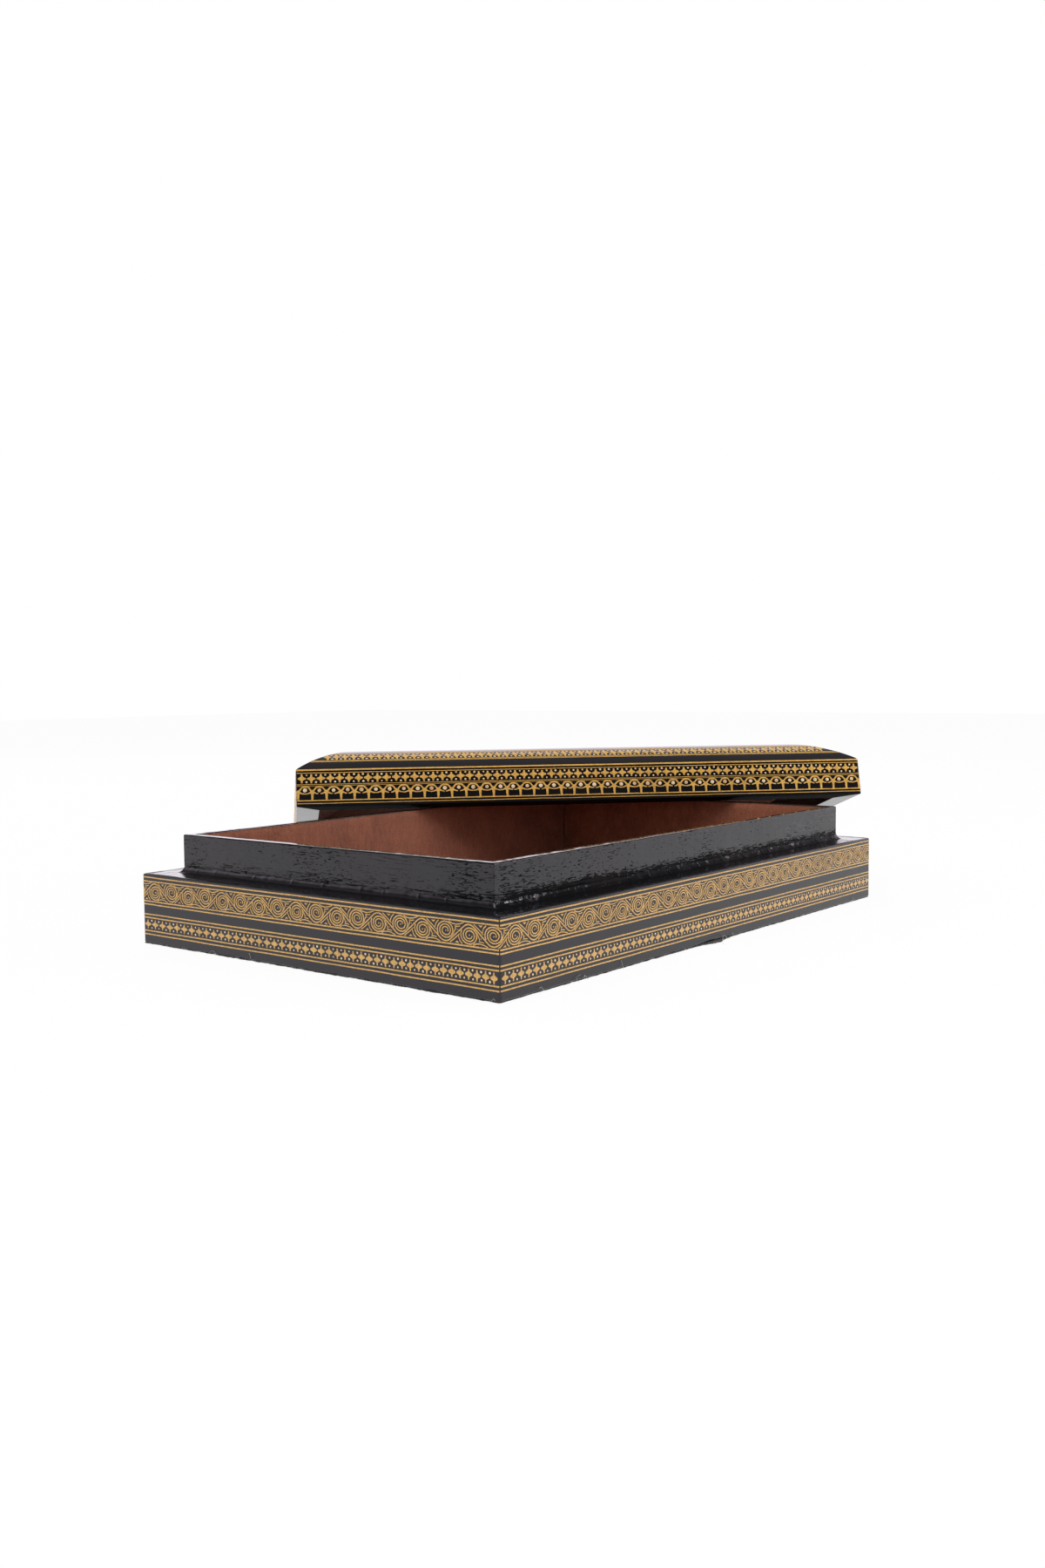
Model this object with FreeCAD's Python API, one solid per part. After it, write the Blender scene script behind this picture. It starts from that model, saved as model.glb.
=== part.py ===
import FreeCAD, Part
import math
import os

# Papier-mache box with a lift-off lid. Lengths are in millimetres, angles in degrees.
# The origin is the middle of the base's underside, on the table. +X runs along the long
# side, +Y along the short side away from the front, and +Z points up.
# The lid is built in its own frame, with its rim on z = 0, and is then laid askew over the
# far corner of the collar: its front rim on the collar, its rear rim on the table.

# Overall size, the same for the base and the lid
box_length = 305.0
box_width = 203.0

# Base
base_height = 31.0
ledge_width = 12.7
collar_rise = 17.0
collar_thickness = 4.2
board_thickness = 4.0
felt_thickness = 0.6
felt_inset = 0.5

# Velvet linings, each with the card behind it
wall_lining_thickness = 1.2
floor_lining_thickness = 1.6
lining_edge_drop = 0.5

# Lid
lid_play = 0.9
lid_side_height = 19.4
lid_lip_height = 4.4
shoulder_radius = 77.0
shoulder_start_angle = 39.8
shoulder_blend_radius = 1.2
shell_thickness = 6.0
lid_lining_thickness = 1.2

# Rounded edges of the lacquered board
corner_radius = 1.0
foot_radius = 0.6
edge_radius = 0.4
collar_edge_radius = 0.6

# Where the lid lies: how far it is turned, and where its middle stands from the collar's
# far corner
lid_turn = -42.0
lid_from_corner_x = -2.2
lid_from_corner_y = 4.5
lid_seat_clearance = 0.2

# Sizes that follow from the ones above
collar_top = base_height + collar_rise
lid_wall_thickness = ledge_width - lid_play
collar_outer_length = box_length - 2 * ledge_width
collar_outer_width = box_width - 2 * ledge_width
well_length = collar_outer_length - 2 * collar_thickness
well_width = collar_outer_width - 2 * collar_thickness
board_bottom = felt_thickness
board_top = board_bottom + board_thickness
lid_wall_height = lid_side_height - lid_lip_height
lid_inner_length = box_length - 2 * lid_wall_thickness
lid_inner_width = box_width - 2 * lid_wall_thickness


def vector(x, y, z):
    return FreeCAD.Vector(x, y, z)


def block(length, width, bottom, top):
    """A block centred on the Z axis."""
    corner = vector(-length / 2, -width / 2, bottom)
    return Part.makeBox(length, width, top - bottom, corner)


def is_upright(edge):
    low, high = edge.BoundBox.ZMin, edge.BoundBox.ZMax
    return high - low > 0.9 * (edge.Length - 1e-6) and edge.Length > 1e-6


def edges_at_height(solid, height):
    """The level edges of a solid that lie at one height."""
    found = []
    for edge in solid.Edges:
        box = edge.BoundBox
        if abs(box.ZMin - height) < 1e-6 and abs(box.ZMax - height) < 1e-6:
            found.append(edge)
    return found


def rounded_block(length, width, bottom, top, upright=0.0, foot=0.0, brow=0.0):
    """A block with rounded upright edges, bottom edges and top edges."""
    solid = block(length, width, bottom, top)
    if upright:
        corners = [edge for edge in solid.Edges if is_upright(edge)]
        solid = solid.makeFillet(upright, corners)
    if foot:
        solid = solid.makeFillet(foot, edges_at_height(solid, bottom))
    if brow:
        solid = solid.makeFillet(brow, edges_at_height(solid, top))
    return solid


def mitre_wedge(side, length, width, depth, bottom, top):
    """The space one side of a mitred frame may fill, cut at 45 degrees at its ends."""
    reach = depth
    half_length, half_width = length / 2, width / 2
    if side in ("front", "back"):
        out = -1 if side == "front" else 1
        outline = [
            (-half_length - reach, out * (half_width + reach)),
            (half_length + reach, out * (half_width + reach)),
            (half_length - depth, out * (half_width - depth)),
            (-half_length + depth, out * (half_width - depth)),
        ]
    else:
        out = -1 if side == "left" else 1
        outline = [
            (out * (half_length + reach), -half_width - reach),
            (out * (half_length + reach), half_width + reach),
            (out * (half_length - depth), half_width - depth),
            (out * (half_length - depth), -half_width + depth),
        ]
    points = [vector(x, y, bottom) for x, y in outline]
    face = Part.Face(Part.makePolygon(points + points[:1]))
    return face.extrude(vector(0, 0, top - bottom))


SIDES = ("front", "back", "left", "right")


def mitred_frame(frame, length, width, thickness):
    """The four mitred strips of a rectangular frame, by side."""
    bottom, top = frame.BoundBox.ZMin - 1, frame.BoundBox.ZMax + 1
    strips = {}
    for side in SIDES:
        wedge = mitre_wedge(side, length, width, 1.5 * thickness, bottom, top)
        strips[side] = frame.common(wedge).Solids[0]
    return strips


# Base

def make_underside_felt():
    """The cloth that the box stands on."""
    length = box_length - 2 * (foot_radius + felt_inset)
    width = box_width - 2 * (foot_radius + felt_inset)
    return rounded_block(length, width, 0, felt_thickness, upright=corner_radius)


def make_bottom_board():
    return block(collar_outer_length, collar_outer_width, board_bottom, board_top)


def make_base_walls():
    """The thick outer walls, whose top is the ledge that the lid sits on."""
    outside = rounded_block(
        box_length,
        box_width,
        felt_thickness,
        base_height,
        upright=corner_radius,
        foot=foot_radius,
        brow=edge_radius,
    )
    inside = block(collar_outer_length, collar_outer_width, 0, base_height + 1)
    return mitred_frame(outside.cut(inside), box_length, box_width, ledge_width)


def make_collar():
    """The boards that line the walls and stand above them to locate the lid."""
    outside = rounded_block(
        collar_outer_length,
        collar_outer_width,
        board_top,
        collar_top,
        brow=collar_edge_radius,
    )
    inside = block(well_length, well_width, board_top - 1, collar_top + 1)
    frame = outside.cut(inside)
    return mitred_frame(frame, collar_outer_length, collar_outer_width, collar_thickness)


def make_wall_linings():
    """Velvet on card inside each collar board. The long ones run the full length."""
    top = collar_top - lining_edge_drop
    thickness = wall_lining_thickness
    short_run = well_width - 2 * thickness
    across = block(well_length, thickness, board_top, top)
    along = block(thickness, short_run, board_top, top)
    long_place = (well_width - thickness) / 2
    short_place = (well_length - thickness) / 2
    return {
        "front": across.translated(vector(0, -long_place, 0)),
        "back": across.translated(vector(0, long_place, 0)),
        "left": along.translated(vector(-short_place, 0, 0)),
        "right": along.translated(vector(short_place, 0, 0)),
    }


def make_floor_lining():
    length = well_length - 2 * wall_lining_thickness
    width = well_width - 2 * wall_lining_thickness
    return block(length, width, board_top, board_top + floor_lining_thickness)


# Lid, in its own frame with the rim's underside on z = 0

shoulder_width = shoulder_radius * math.sin(math.radians(shoulder_start_angle))
shoulder_drop = shoulder_radius * math.cos(math.radians(shoulder_start_angle))
shoulder_centre_height = lid_side_height - shoulder_drop


def shoulder_height(inset, radius):
    """Height of a shoulder arc at a distance in from the lid's side."""
    return shoulder_centre_height + math.sqrt(radius**2 - (shoulder_width - inset) ** 2)


def arc_through(centre, radius, start, end):
    """An arc about a centre (inset, height), through the middle of its sweep."""
    first = math.atan2(start[1] - centre[1], start[0] - centre[0])
    last = math.atan2(end[1] - centre[1], end[0] - centre[0])
    middle = (first + last) / 2
    via = (centre[0] + radius * math.cos(middle), centre[1] + radius * math.sin(middle))
    return start, via, end


def outer_shoulder():
    """The outside of the dome from its side to its flat: a small blend, then the arc."""
    centre = (shoulder_width, shoulder_centre_height)
    blend = shoulder_blend_radius
    reach = shoulder_radius - blend
    blend_height = shoulder_centre_height + math.sqrt(reach**2 - (shoulder_width - blend) ** 2)
    blend_centre = (blend, blend_height)
    lean = math.atan2(blend_height - centre[1], blend - centre[0])
    meeting = (
        centre[0] + shoulder_radius * math.cos(lean),
        centre[1] + shoulder_radius * math.sin(lean),
    )
    crown = (shoulder_width, shoulder_centre_height + shoulder_radius)
    return [
        arc_through(blend_centre, blend, (0.0, blend_height), meeting),
        arc_through(centre, shoulder_radius, meeting, crown),
    ]


def inner_shoulder(inset, radius):
    """The inside of the dome from a distance in from the side to its flat."""
    centre = (shoulder_width, shoulder_centre_height)
    foot = (inset, shoulder_height(inset, radius))
    crown = (shoulder_width, shoulder_centre_height + radius)
    return [arc_through(centre, radius, foot, crown)]


def dome_prism(span, run, inset, seat, arcs, along_x):
    """A dome profile over one span, drawn out over the other."""

    def place(distance, height, mirrored):
        across = (span / 2 - distance) if mirrored else (distance - span / 2)
        if along_x:
            return vector(-run / 2, across, height)
        return vector(across, -run / 2, height)

    edges = []
    for mirrored in (False, True):
        foot = place(inset, seat, mirrored)
        edges.append(Part.LineSegment(foot, place(*arcs[0][0], mirrored)).toShape())
        for start, via, end in arcs:
            ends = [place(*point, mirrored) for point in (start, via, end)]
            edges.append(Part.Arc(*ends).toShape())
    crown = arcs[-1][-1]
    edges.append(Part.LineSegment(place(*crown, False), place(*crown, True)).toShape())
    edges.append(Part.LineSegment(place(inset, seat, False), place(inset, seat, True)).toShape())
    wire = Part.Wire(Part.__sortEdges__(edges))
    draw = vector(run, 0, 0) if along_x else vector(0, run, 0)
    return Part.Face(wire).extrude(draw)


def dome(inset, seat, arcs):
    """Two dome prisms crossed, so that their shoulders meet in mitres."""
    over_width = dome_prism(box_width, box_length, inset, seat, arcs, True)
    over_length = dome_prism(box_length, box_width, inset, seat, arcs, False)
    return over_width.common(over_length)


def make_lid_walls():
    outside = rounded_block(
        box_length,
        box_width,
        0,
        lid_wall_height + 1,
        upright=corner_radius,
        foot=edge_radius,
    )
    inside = block(lid_inner_length, lid_inner_width, -1, lid_wall_height + 2)
    above = block(box_length + 2, box_width + 2, lid_wall_height, lid_wall_height + 2)
    frame = outside.cut(inside).cut(above)
    return mitred_frame(frame, box_length, box_width, lid_wall_thickness)


def lid_hollow(clearance):
    """The space under the dome, drawn in by a clearance all round."""
    inset = lid_wall_thickness + clearance
    radius = shoulder_radius - shell_thickness - clearance
    return dome(inset, lid_wall_height, inner_shoulder(inset, radius))


def make_lid_top():
    """The moulded shell: a short upright lip, a curved shoulder and a flat field."""
    outside = dome(0.0, lid_wall_height, outer_shoulder())
    plan = rounded_block(
        box_length, box_width, lid_wall_height - 1, 2 * lid_side_height + shoulder_radius,
        upright=corner_radius,
    )
    return outside.common(plan).cut(lid_hollow(0.0)).Solids[0]


def make_lid_lining():
    """Velvet glued all over the inside of the dome."""
    return lid_hollow(0.0).cut(lid_hollow(lid_lining_thickness)).Solids[0]


def lid_placement():
    """Leans the lid: front rim on the collar's top, rear rim on the table."""
    rear = box_width / 2
    tilt = math.asin(collar_top / (box_width - lid_wall_thickness))
    turn = FreeCAD.Rotation(vector(0, 0, 1), lid_turn)
    lean = FreeCAD.Rotation(vector(1, 0, 0), -math.degrees(tilt))
    place = vector(
        collar_outer_length / 2 + lid_from_corner_x,
        collar_outer_width / 2 + lid_from_corner_y,
        rear * math.sin(tilt) + lid_seat_clearance,
    )
    return FreeCAD.Placement(place, turn.multiply(lean))


# All the pieces, by the names of their files

def make_base_pieces():
    pieces = {
        "underside_felt": make_underside_felt(),
        "bottom_board": make_bottom_board(),
        "floor_lining": make_floor_lining(),
    }
    for side, wall in make_base_walls().items():
        pieces[side + "_wall"] = wall
    for side, board in make_collar().items():
        pieces["collar_" + side] = board
    for side, lining in make_wall_linings().items():
        pieces["lining_" + side] = lining
    return pieces


def make_lid_pieces():
    pieces = {"lid_top": make_lid_top(), "lid_lining": make_lid_lining()}
    for side, wall in make_lid_walls().items():
        pieces["lid_" + side + "_wall"] = wall
    lean = lid_placement().toMatrix()
    return {name: piece.transformed(lean, copy=True) for name, piece in pieces.items()}


os.makedirs("parts", exist_ok=True)
for name, piece in {**make_base_pieces(), **make_lid_pieces()}.items():
    solids = piece.Solids
    if len(solids) != 1 or not piece.isValid():
        raise ValueError(name + " isn't one valid solid")
    solids[0].exportStep("parts/" + name + ".step")
    print(name, round(solids[0].Volume, 1))
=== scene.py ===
"""A black lacquered papier-mache box with gold bands, its lid leaning over the far corner.

Shapes are worked out in millimetres and turned to metres when a mesh is made. The base's
pieces are made in the row frame. The lid's are made in the lid's own frame, with its rim
on z = 0 and its front towards -Y, and are then laid as the CAD lid lies.
"""

import math
import random
from collections import namedtuple

import bpy
import numpy as np
from mathutils import Matrix, Vector

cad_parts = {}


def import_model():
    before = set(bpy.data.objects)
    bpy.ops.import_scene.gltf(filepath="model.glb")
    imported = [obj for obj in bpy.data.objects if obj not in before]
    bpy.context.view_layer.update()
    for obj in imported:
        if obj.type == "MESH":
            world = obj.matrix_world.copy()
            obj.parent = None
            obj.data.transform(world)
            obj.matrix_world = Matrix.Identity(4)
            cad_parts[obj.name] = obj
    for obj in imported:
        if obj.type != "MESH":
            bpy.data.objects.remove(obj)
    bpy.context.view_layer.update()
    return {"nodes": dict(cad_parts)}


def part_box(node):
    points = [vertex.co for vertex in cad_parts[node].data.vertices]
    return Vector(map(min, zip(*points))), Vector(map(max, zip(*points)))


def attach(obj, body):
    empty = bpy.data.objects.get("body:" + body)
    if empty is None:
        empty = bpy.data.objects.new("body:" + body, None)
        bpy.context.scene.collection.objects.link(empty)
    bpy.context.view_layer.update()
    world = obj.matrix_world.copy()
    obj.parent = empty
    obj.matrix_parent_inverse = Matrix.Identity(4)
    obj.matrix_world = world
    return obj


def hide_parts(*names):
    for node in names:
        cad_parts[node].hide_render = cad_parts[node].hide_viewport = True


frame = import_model()

MM = 0.001
SIDES = ("front", "right", "back", "left")

# Each side's direction along it and out of it, seen from above
ALONG = {"front": (1, 0), "right": (0, 1), "back": (-1, 0), "left": (0, -1)}
OUT = {"front": (0, -1), "right": (1, 0), "back": (0, 1), "left": (-1, 0)}


def low(node):
    return [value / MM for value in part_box(node)[0]]


def high(node):
    return [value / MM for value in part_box(node)[1]]


# Sizes of the base, read from the frame
BOX_LENGTH = high("right_wall")[0] - low("left_wall")[0]
BOX_WIDTH = high("back_wall")[1] - low("front_wall")[1]
BASE_HEIGHT = high("front_wall")[2]
COLLAR_TOP = high("collar_front")[2]
COLLAR_FOOT = low("collar_front")[2]
COLLAR_LENGTH = high("collar_right")[0] - low("collar_left")[0]
COLLAR_WIDTH = high("collar_back")[1] - low("collar_front")[1]
COLLAR_THICKNESS = high("collar_front")[1] - low("collar_front")[1]
LINING_TOP = high("lining_front")[2]
LINING_THICKNESS = high("lining_front")[1] - low("lining_front")[1]
FELT_THICKNESS = high("underside_felt")[2]
CORNER_RADIUS = 1.0
LEDGE_WIDTH = (BOX_LENGTH - COLLAR_LENGTH) / 2

# Length, width and corner radius of the box's and of the collar's outline
BOX = (BOX_LENGTH, BOX_WIDTH, CORNER_RADIUS)
COLLAR = (COLLAR_LENGTH, COLLAR_WIDTH, 0.5)

# The lid in its own frame, and how it lies
LID_PLAY = 0.9
LID_CLEARANCE = 0.2
LID_FROM_CORNER = (-2.2, 4.5)
LID_WALL = LEDGE_WIDTH - LID_PLAY
LID_SIDE_HEIGHT = 19.4
LID_WALL_HEIGHT = 15.0
SHOULDER_RADIUS = 77.0
SHOULDER_START = math.radians(39.8)
SHOULDER_BLEND = 1.2
SHELL_THICKNESS = 6.0
LID_LINING_THICKNESS = 1.2
SHOULDER_WIDTH = SHOULDER_RADIUS * math.sin(SHOULDER_START)
SHOULDER_CENTRE = LID_SIDE_HEIGHT - SHOULDER_RADIUS * math.cos(SHOULDER_START)
SHELL_RADIUS = SHOULDER_RADIUS - SHELL_THICKNESS
DEEPEST_RING = BOX_WIDTH / 2 - 1.0
LID_TURN = math.radians(-42.0)
LID_TILT = math.asin(COLLAR_TOP / (BOX_WIDTH - LID_WALL))
LID_MIDDLE = (COLLAR_LENGTH / 2 + LID_FROM_CORNER[0], COLLAR_WIDTH / 2 + LID_FROM_CORNER[1])
LID_LIFT = BOX_WIDTH / 2 * math.sin(LID_TILT) + LID_CLEARANCE
LID_PLACE = (
    Matrix.Translation((*LID_MIDDLE, LID_LIFT))
    @ Matrix.Rotation(LID_TURN, 4, "Z")
    @ Matrix.Rotation(-LID_TILT, 4, "X")
)


# Noise and meshes

NOISE_SIZE = 256
NOISE_TABLES = {
    seed: np.random.default_rng(seed).uniform(-1, 1, (NOISE_SIZE, NOISE_SIZE))
    for seed in range(1, 13)
}


def noise(u, v, seed):
    """Smooth noise from -1 to 1, with features about one unit across."""
    u, v = np.broadcast_arrays(np.asarray(u, float), np.asarray(v, float))
    left, down = np.floor(u).astype(int), np.floor(v).astype(int)
    fu, fv = u - left, v - down
    fu, fv = fu * fu * (3 - 2 * fu), fv * fv * (3 - 2 * fv)
    table = NOISE_TABLES[seed]

    def at(di, dj):
        return table[(left + di) % NOISE_SIZE, (down + dj) % NOISE_SIZE]

    lower = at(0, 0) * (1 - fu) + at(1, 0) * fu
    upper = at(0, 1) * (1 - fu) + at(1, 1) * fu
    return lower * (1 - fv) + upper * fv


def waves(u, v, *layers):
    """Layers of smooth noise, each with its height, its length along u and v, and its seed."""
    return sum(height * noise(u / long, v / wide, seed) for height, long, wide, seed in layers)


def smoothstep(low_end, high_end, value):
    share = np.clip((value - low_end) / (high_end - low_end), 0, 1)
    return share * share * (3 - 2 * share)


def show(name, data):
    """A new object in the scene."""
    thing = bpy.data.objects.new(name, data)
    bpy.context.scene.collection.objects.link(thing)
    return thing


def make_piece(name, points, faces, material, body, slot, smooth_angle):
    """A mesh piece from points in millimetres. Points of the lid are in its own frame."""
    points = np.asarray(points, float).reshape(-1, 3)
    if body == "lid":
        place = np.array(LID_PLACE)
        points = points @ place[:3, :3].T + place[:3, 3]
    mesh = bpy.data.meshes.new(name)
    mesh.from_pydata((points * MM).tolist(), [], faces)
    mesh.polygons.foreach_set("use_smooth", [True] * len(mesh.polygons))
    mesh.set_sharp_from_angle(angle=math.radians(smooth_angle))
    mesh.materials.append(material)
    mesh.validate()
    piece = show(name, mesh)
    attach(piece, body)
    return piece


def grid_faces(rows, columns, start=0, wrap_columns=False, wrap_rows=False):
    """Quads of a grid whose points run along the columns first."""
    faces = []
    for row in range(rows if wrap_rows else rows - 1):
        above = (row + 1) % rows
        for column in range(columns if wrap_columns else columns - 1):
            beside = (column + 1) % columns
            faces.append((
                start + row * columns + column,
                start + row * columns + beside,
                start + above * columns + beside,
                start + above * columns + column,
            ))
    return faces


def end_caps(rows, columns):
    """The two ends of a closed run of rows."""
    return [
        tuple(row * columns for row in reversed(range(rows))),
        tuple(row * columns + columns - 1 for row in range(rows)),
    ]


def slab_faces(rows, columns):
    """Faces of a closed slab, its front grid before its back grid, and the front's rim."""
    grid = grid_faces(rows, columns)
    shift = rows * columns
    rim = list(range(columns))
    rim += [row * columns + columns - 1 for row in range(1, rows)]
    rim += [(rows - 1) * columns + i for i in reversed(range(columns - 1))]
    rim += [row * columns for row in reversed(range(1, rows - 1))]
    faces = grid + [tuple(shift + i for i in reversed(face)) for face in grid]
    for here, there in zip(rim, rim[1:] + rim[:1]):
        faces.append((here, shift + here, shift + there, there))
    return faces, rim


def double_skin(rings, outer_count):
    """Faces of two stacks of rings, each closed at the crown and both joined at the foot."""
    columns = len(rings[0])
    faces = []
    for start in range(len(rings) - 1):
        if start != outer_count - 1:
            faces += grid_faces(2, columns, start * columns, wrap_columns=True)
    inner = outer_count * columns
    faces.append(tuple(range(inner - columns, inner)))
    faces.append(tuple(reversed(range(inner, inner + columns))))
    last = (len(rings) - 1) * columns
    faces += [(last + i, last + (i + 1) % columns, (i + 1) % columns, i) for i in range(columns)]
    return faces


# Plan of a side: where a point stands, by its place along the side and its inset

def half_sizes(side, length, width):
    """Half the side's own length, and its distance from the middle."""
    if side in ("front", "back"):
        return length / 2, width / 2
    return width / 2, length / 2


def plan(side, s, inset, length, width, corner):
    """Places and outward directions at s along a side. Past its end, s rolls round the corner."""
    along_half, out_half = half_sizes(side, length, width)
    s, inset = np.broadcast_arrays(np.asarray(s, float), np.asarray(inset, float))
    turn = np.maximum(corner - inset, 1e-4)
    flat = along_half - inset - turn
    angle = np.clip((np.abs(s) - flat) / turn, 0, math.pi / 4)
    sign = np.sign(s)
    reach = np.where(angle > 0, sign * (flat + turn * np.sin(angle)), s)
    stand = out_half - inset - turn + turn * np.cos(angle)
    along, out = np.array(ALONG[side]), np.array(OUT[side])
    places = reach[..., None] * along + stand[..., None] * out
    normals = (sign * np.sin(angle))[..., None] * along + np.cos(angle)[..., None] * out
    return places, normals


def side_reach(side, length, width, corner, inset=0.0):
    """Half the run of a side from its middle to the middle of its corner."""
    along_half, _ = half_sizes(side, length, width)
    turn = max(corner - inset, 0.0)
    return along_half - inset - turn + turn * math.pi / 4


# Profiles: inset, height and outward direction at a distance v up the side

def wall_profile(v):
    v = np.asarray(v, float)
    return np.zeros_like(v), v, np.ones_like(v), np.zeros_like(v)


BLEND_HEIGHT = SHOULDER_CENTRE + math.sqrt(
    (SHOULDER_RADIUS - SHOULDER_BLEND) ** 2 - (SHOULDER_WIDTH - SHOULDER_BLEND) ** 2
)
BLEND_LEAN = math.atan2(BLEND_HEIGHT - SHOULDER_CENTRE, SHOULDER_WIDTH - SHOULDER_BLEND)
BLEND_RUN = SHOULDER_BLEND * BLEND_LEAN
SHOULDER_SWEEP = math.pi / 2 - BLEND_LEAN
SHOULDER_RUN = SHOULDER_RADIUS * SHOULDER_SWEEP
FIELD_START = BLEND_HEIGHT + BLEND_RUN + SHOULDER_RUN


def lid_profile(v):
    """Up the lid's side, round the small blend, over the shoulder and in along the flat."""
    v = np.asarray(v, float)
    blend = np.clip(v - BLEND_HEIGHT, 0, BLEND_RUN) / SHOULDER_BLEND
    arc = np.clip(v - BLEND_HEIGHT - BLEND_RUN, 0, SHOULDER_RUN) / SHOULDER_RADIUS
    field = np.maximum(v - FIELD_START, 0)
    lean = np.where(arc > 0, BLEND_LEAN + arc, blend)
    on_side, on_blend = v < BLEND_HEIGHT, arc <= 0
    inset = np.where(
        on_blend,
        SHOULDER_BLEND * (1 - np.cos(blend)),
        SHOULDER_WIDTH - SHOULDER_RADIUS * np.cos(lean),
    )
    height = np.where(
        on_blend,
        np.where(on_side, v, BLEND_HEIGHT + SHOULDER_BLEND * np.sin(blend)),
        SHOULDER_CENTRE + SHOULDER_RADIUS * np.sin(lean),
    )
    return inset + field, height, np.cos(lean), np.sin(lean)


class Surface:
    """The painted face of one side, where ornament is laid out by (s, v) and raised."""

    def __init__(self, side, body):
        self.side, self.body = side, body
        self.profile = lid_profile if body == "lid" else wall_profile
        self.half = side_reach(side, *BOX)

    def place(self, points):
        points = np.asarray(points, float)
        inset, height, out, up = self.profile(points[:, 1])
        places, normals = plan(self.side, points[:, 0], inset, *BOX)
        raised = np.empty((len(points), 3))
        lift = points[:, 2]
        raised[:, :2] = places + normals * (out * lift)[:, None]
        raised[:, 2] = height + up * lift
        return raised


class Wrap:
    """The painted faces of all four sides. Distance runs from the middle of the front left corner."""

    def __init__(self, body):
        self.body = body
        self.surfaces = [Surface(side, body) for side in SIDES]
        ends = np.cumsum([2 * surface.half for surface in self.surfaces])
        self.starts = [0.0, *ends[:-1]]
        self.length = ends[-1]

    def place(self, points):
        points = np.array(points, float)
        distance = points[:, 0] % self.length
        placed = np.empty_like(points)
        for surface, start in zip(self.surfaces, self.starts):
            here = (distance >= start) & (distance < start + 2 * surface.half)
            local = points[here]
            local[:, 0] = distance[here] - start - surface.half
            placed[here] = surface.place(local)
        return placed

    def runs(self, gap):
        """Start and end of each side, short of its corners by gap."""
        return [
            (start + gap, start + 2 * surface.half - gap)
            for start, surface in zip(self.starts, self.surfaces)
        ]

    def near_corner(self, distance, reach):
        """Whether a distance round the box lies within reach of a corner's middle."""
        gaps = [abs((distance - start + self.length / 2) % self.length - self.length / 2)
                for start in self.starts]
        return min(gaps) < reach


# Paint: strokes, patches and dots with a little thickness, as brushed lines of paint have

PAINT_LIFT = 0.09
PAINT_SINK = -0.05
STROKE_TOP_SHARE = 0.80


def finer(line, step):
    """The same line with points at most a step apart."""
    lengths = np.linalg.norm(np.diff(line, axis=0), axis=1)
    places = np.concatenate([[0], np.cumsum(lengths)])
    count = max(len(line), int(places[-1] / step) + 2)
    even = np.unique(np.concatenate([places, np.linspace(0, places[-1], count)]))
    return np.stack([np.interp(even, places, line[:, k]) for k in (0, 1)], axis=1)


class Paint:
    """Painted shapes in the (s, v) coordinates of one surface."""

    def __init__(self):
        self.points = []
        self.faces = []

    def stroke(self, line, width, taper=0.0, swell=0.0, step=None):
        """A brushed line. taper narrows it towards its last point, swell thickens both ends."""
        line = np.asarray(line, float)
        if step:
            line = finer(line, step)
        count = len(line)
        run = np.gradient(line, axis=0)
        run /= np.maximum(np.linalg.norm(run, axis=1), 1e-9)[:, None]
        left = np.stack([-run[:, 1], run[:, 0]], axis=1)
        widths = width * (1 - taper * np.linspace(0, 1, count) ** 2)
        if swell:
            near = np.minimum(np.abs(line[:, 0] - line[0, 0]), np.abs(line[:, 0] - line[-1, 0]))
            widths = widths * (1 + swell * np.exp(-near / 1.6))
        start = len(self.points)
        for i in range(count):
            edge = left[i] * widths[i] / 2
            top = edge * STROKE_TOP_SHARE
            for offset, lift in (
                (edge, PAINT_SINK), (top, PAINT_LIFT), (-top, PAINT_LIFT), (-edge, PAINT_SINK)
            ):
                spot = line[i] + offset
                self.points.append((spot[0], spot[1], lift))
        for i in range(count - 1):
            here, there = start + 4 * i, start + 4 * i + 4
            for a, b in ((2, 1), (3, 2), (1, 0), (0, 3)):
                self.faces.append((here + a, there + a, there + b, here + b))
        last = start + 4 * (count - 1)
        self.faces.append((start, start + 3, start + 2, start + 1))
        self.faces.append((last + 1, last + 2, last + 3, last))

    def patch(self, outline, crown=1.5, rim=0.86):
        """A filled shape that is seen whole from its middle, a little crowned."""
        outline = np.asarray(outline, float)
        count = len(outline)
        middle = outline.mean(axis=0)
        start = len(self.points)
        for spot in outline:
            self.points.append((spot[0], spot[1], PAINT_SINK))
        for spot in middle + (outline - middle) * rim:
            self.points.append((spot[0], spot[1], PAINT_LIFT))
        self.points.append((middle[0], middle[1], PAINT_LIFT * crown))
        for i in range(count):
            j = (i + 1) % count
            self.faces.append((start + i, start + j, start + count + j, start + count + i))
            self.faces.append((start + count + i, start + count + j, start + 2 * count))
        self.faces.append(tuple(start + i for i in reversed(range(count))))

    def dot(self, middle, radius, sides=9, crown=2.2):
        angles = [2 * math.pi * i / sides for i in range(sides)]
        self.patch(
            [(middle[0] + radius * math.cos(a), middle[1] + radius * math.sin(a)) for a in angles],
            crown=crown,
            rim=0.7,
        )

    def piece(self, name, surface, material, slot):
        points = surface.place(self.points)
        return make_piece(name, points, self.faces, material, surface.body, slot, 30.0)


class Hand:
    """The unevenness of a painter's hand, the same at each run."""

    def __init__(self, seed):
        self.random = random.Random(seed)

    def by(self, amount):
        return self.random.uniform(-amount, amount)

    def near(self, value, share):
        return value * (1 + self.random.uniform(-share, share))


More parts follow.
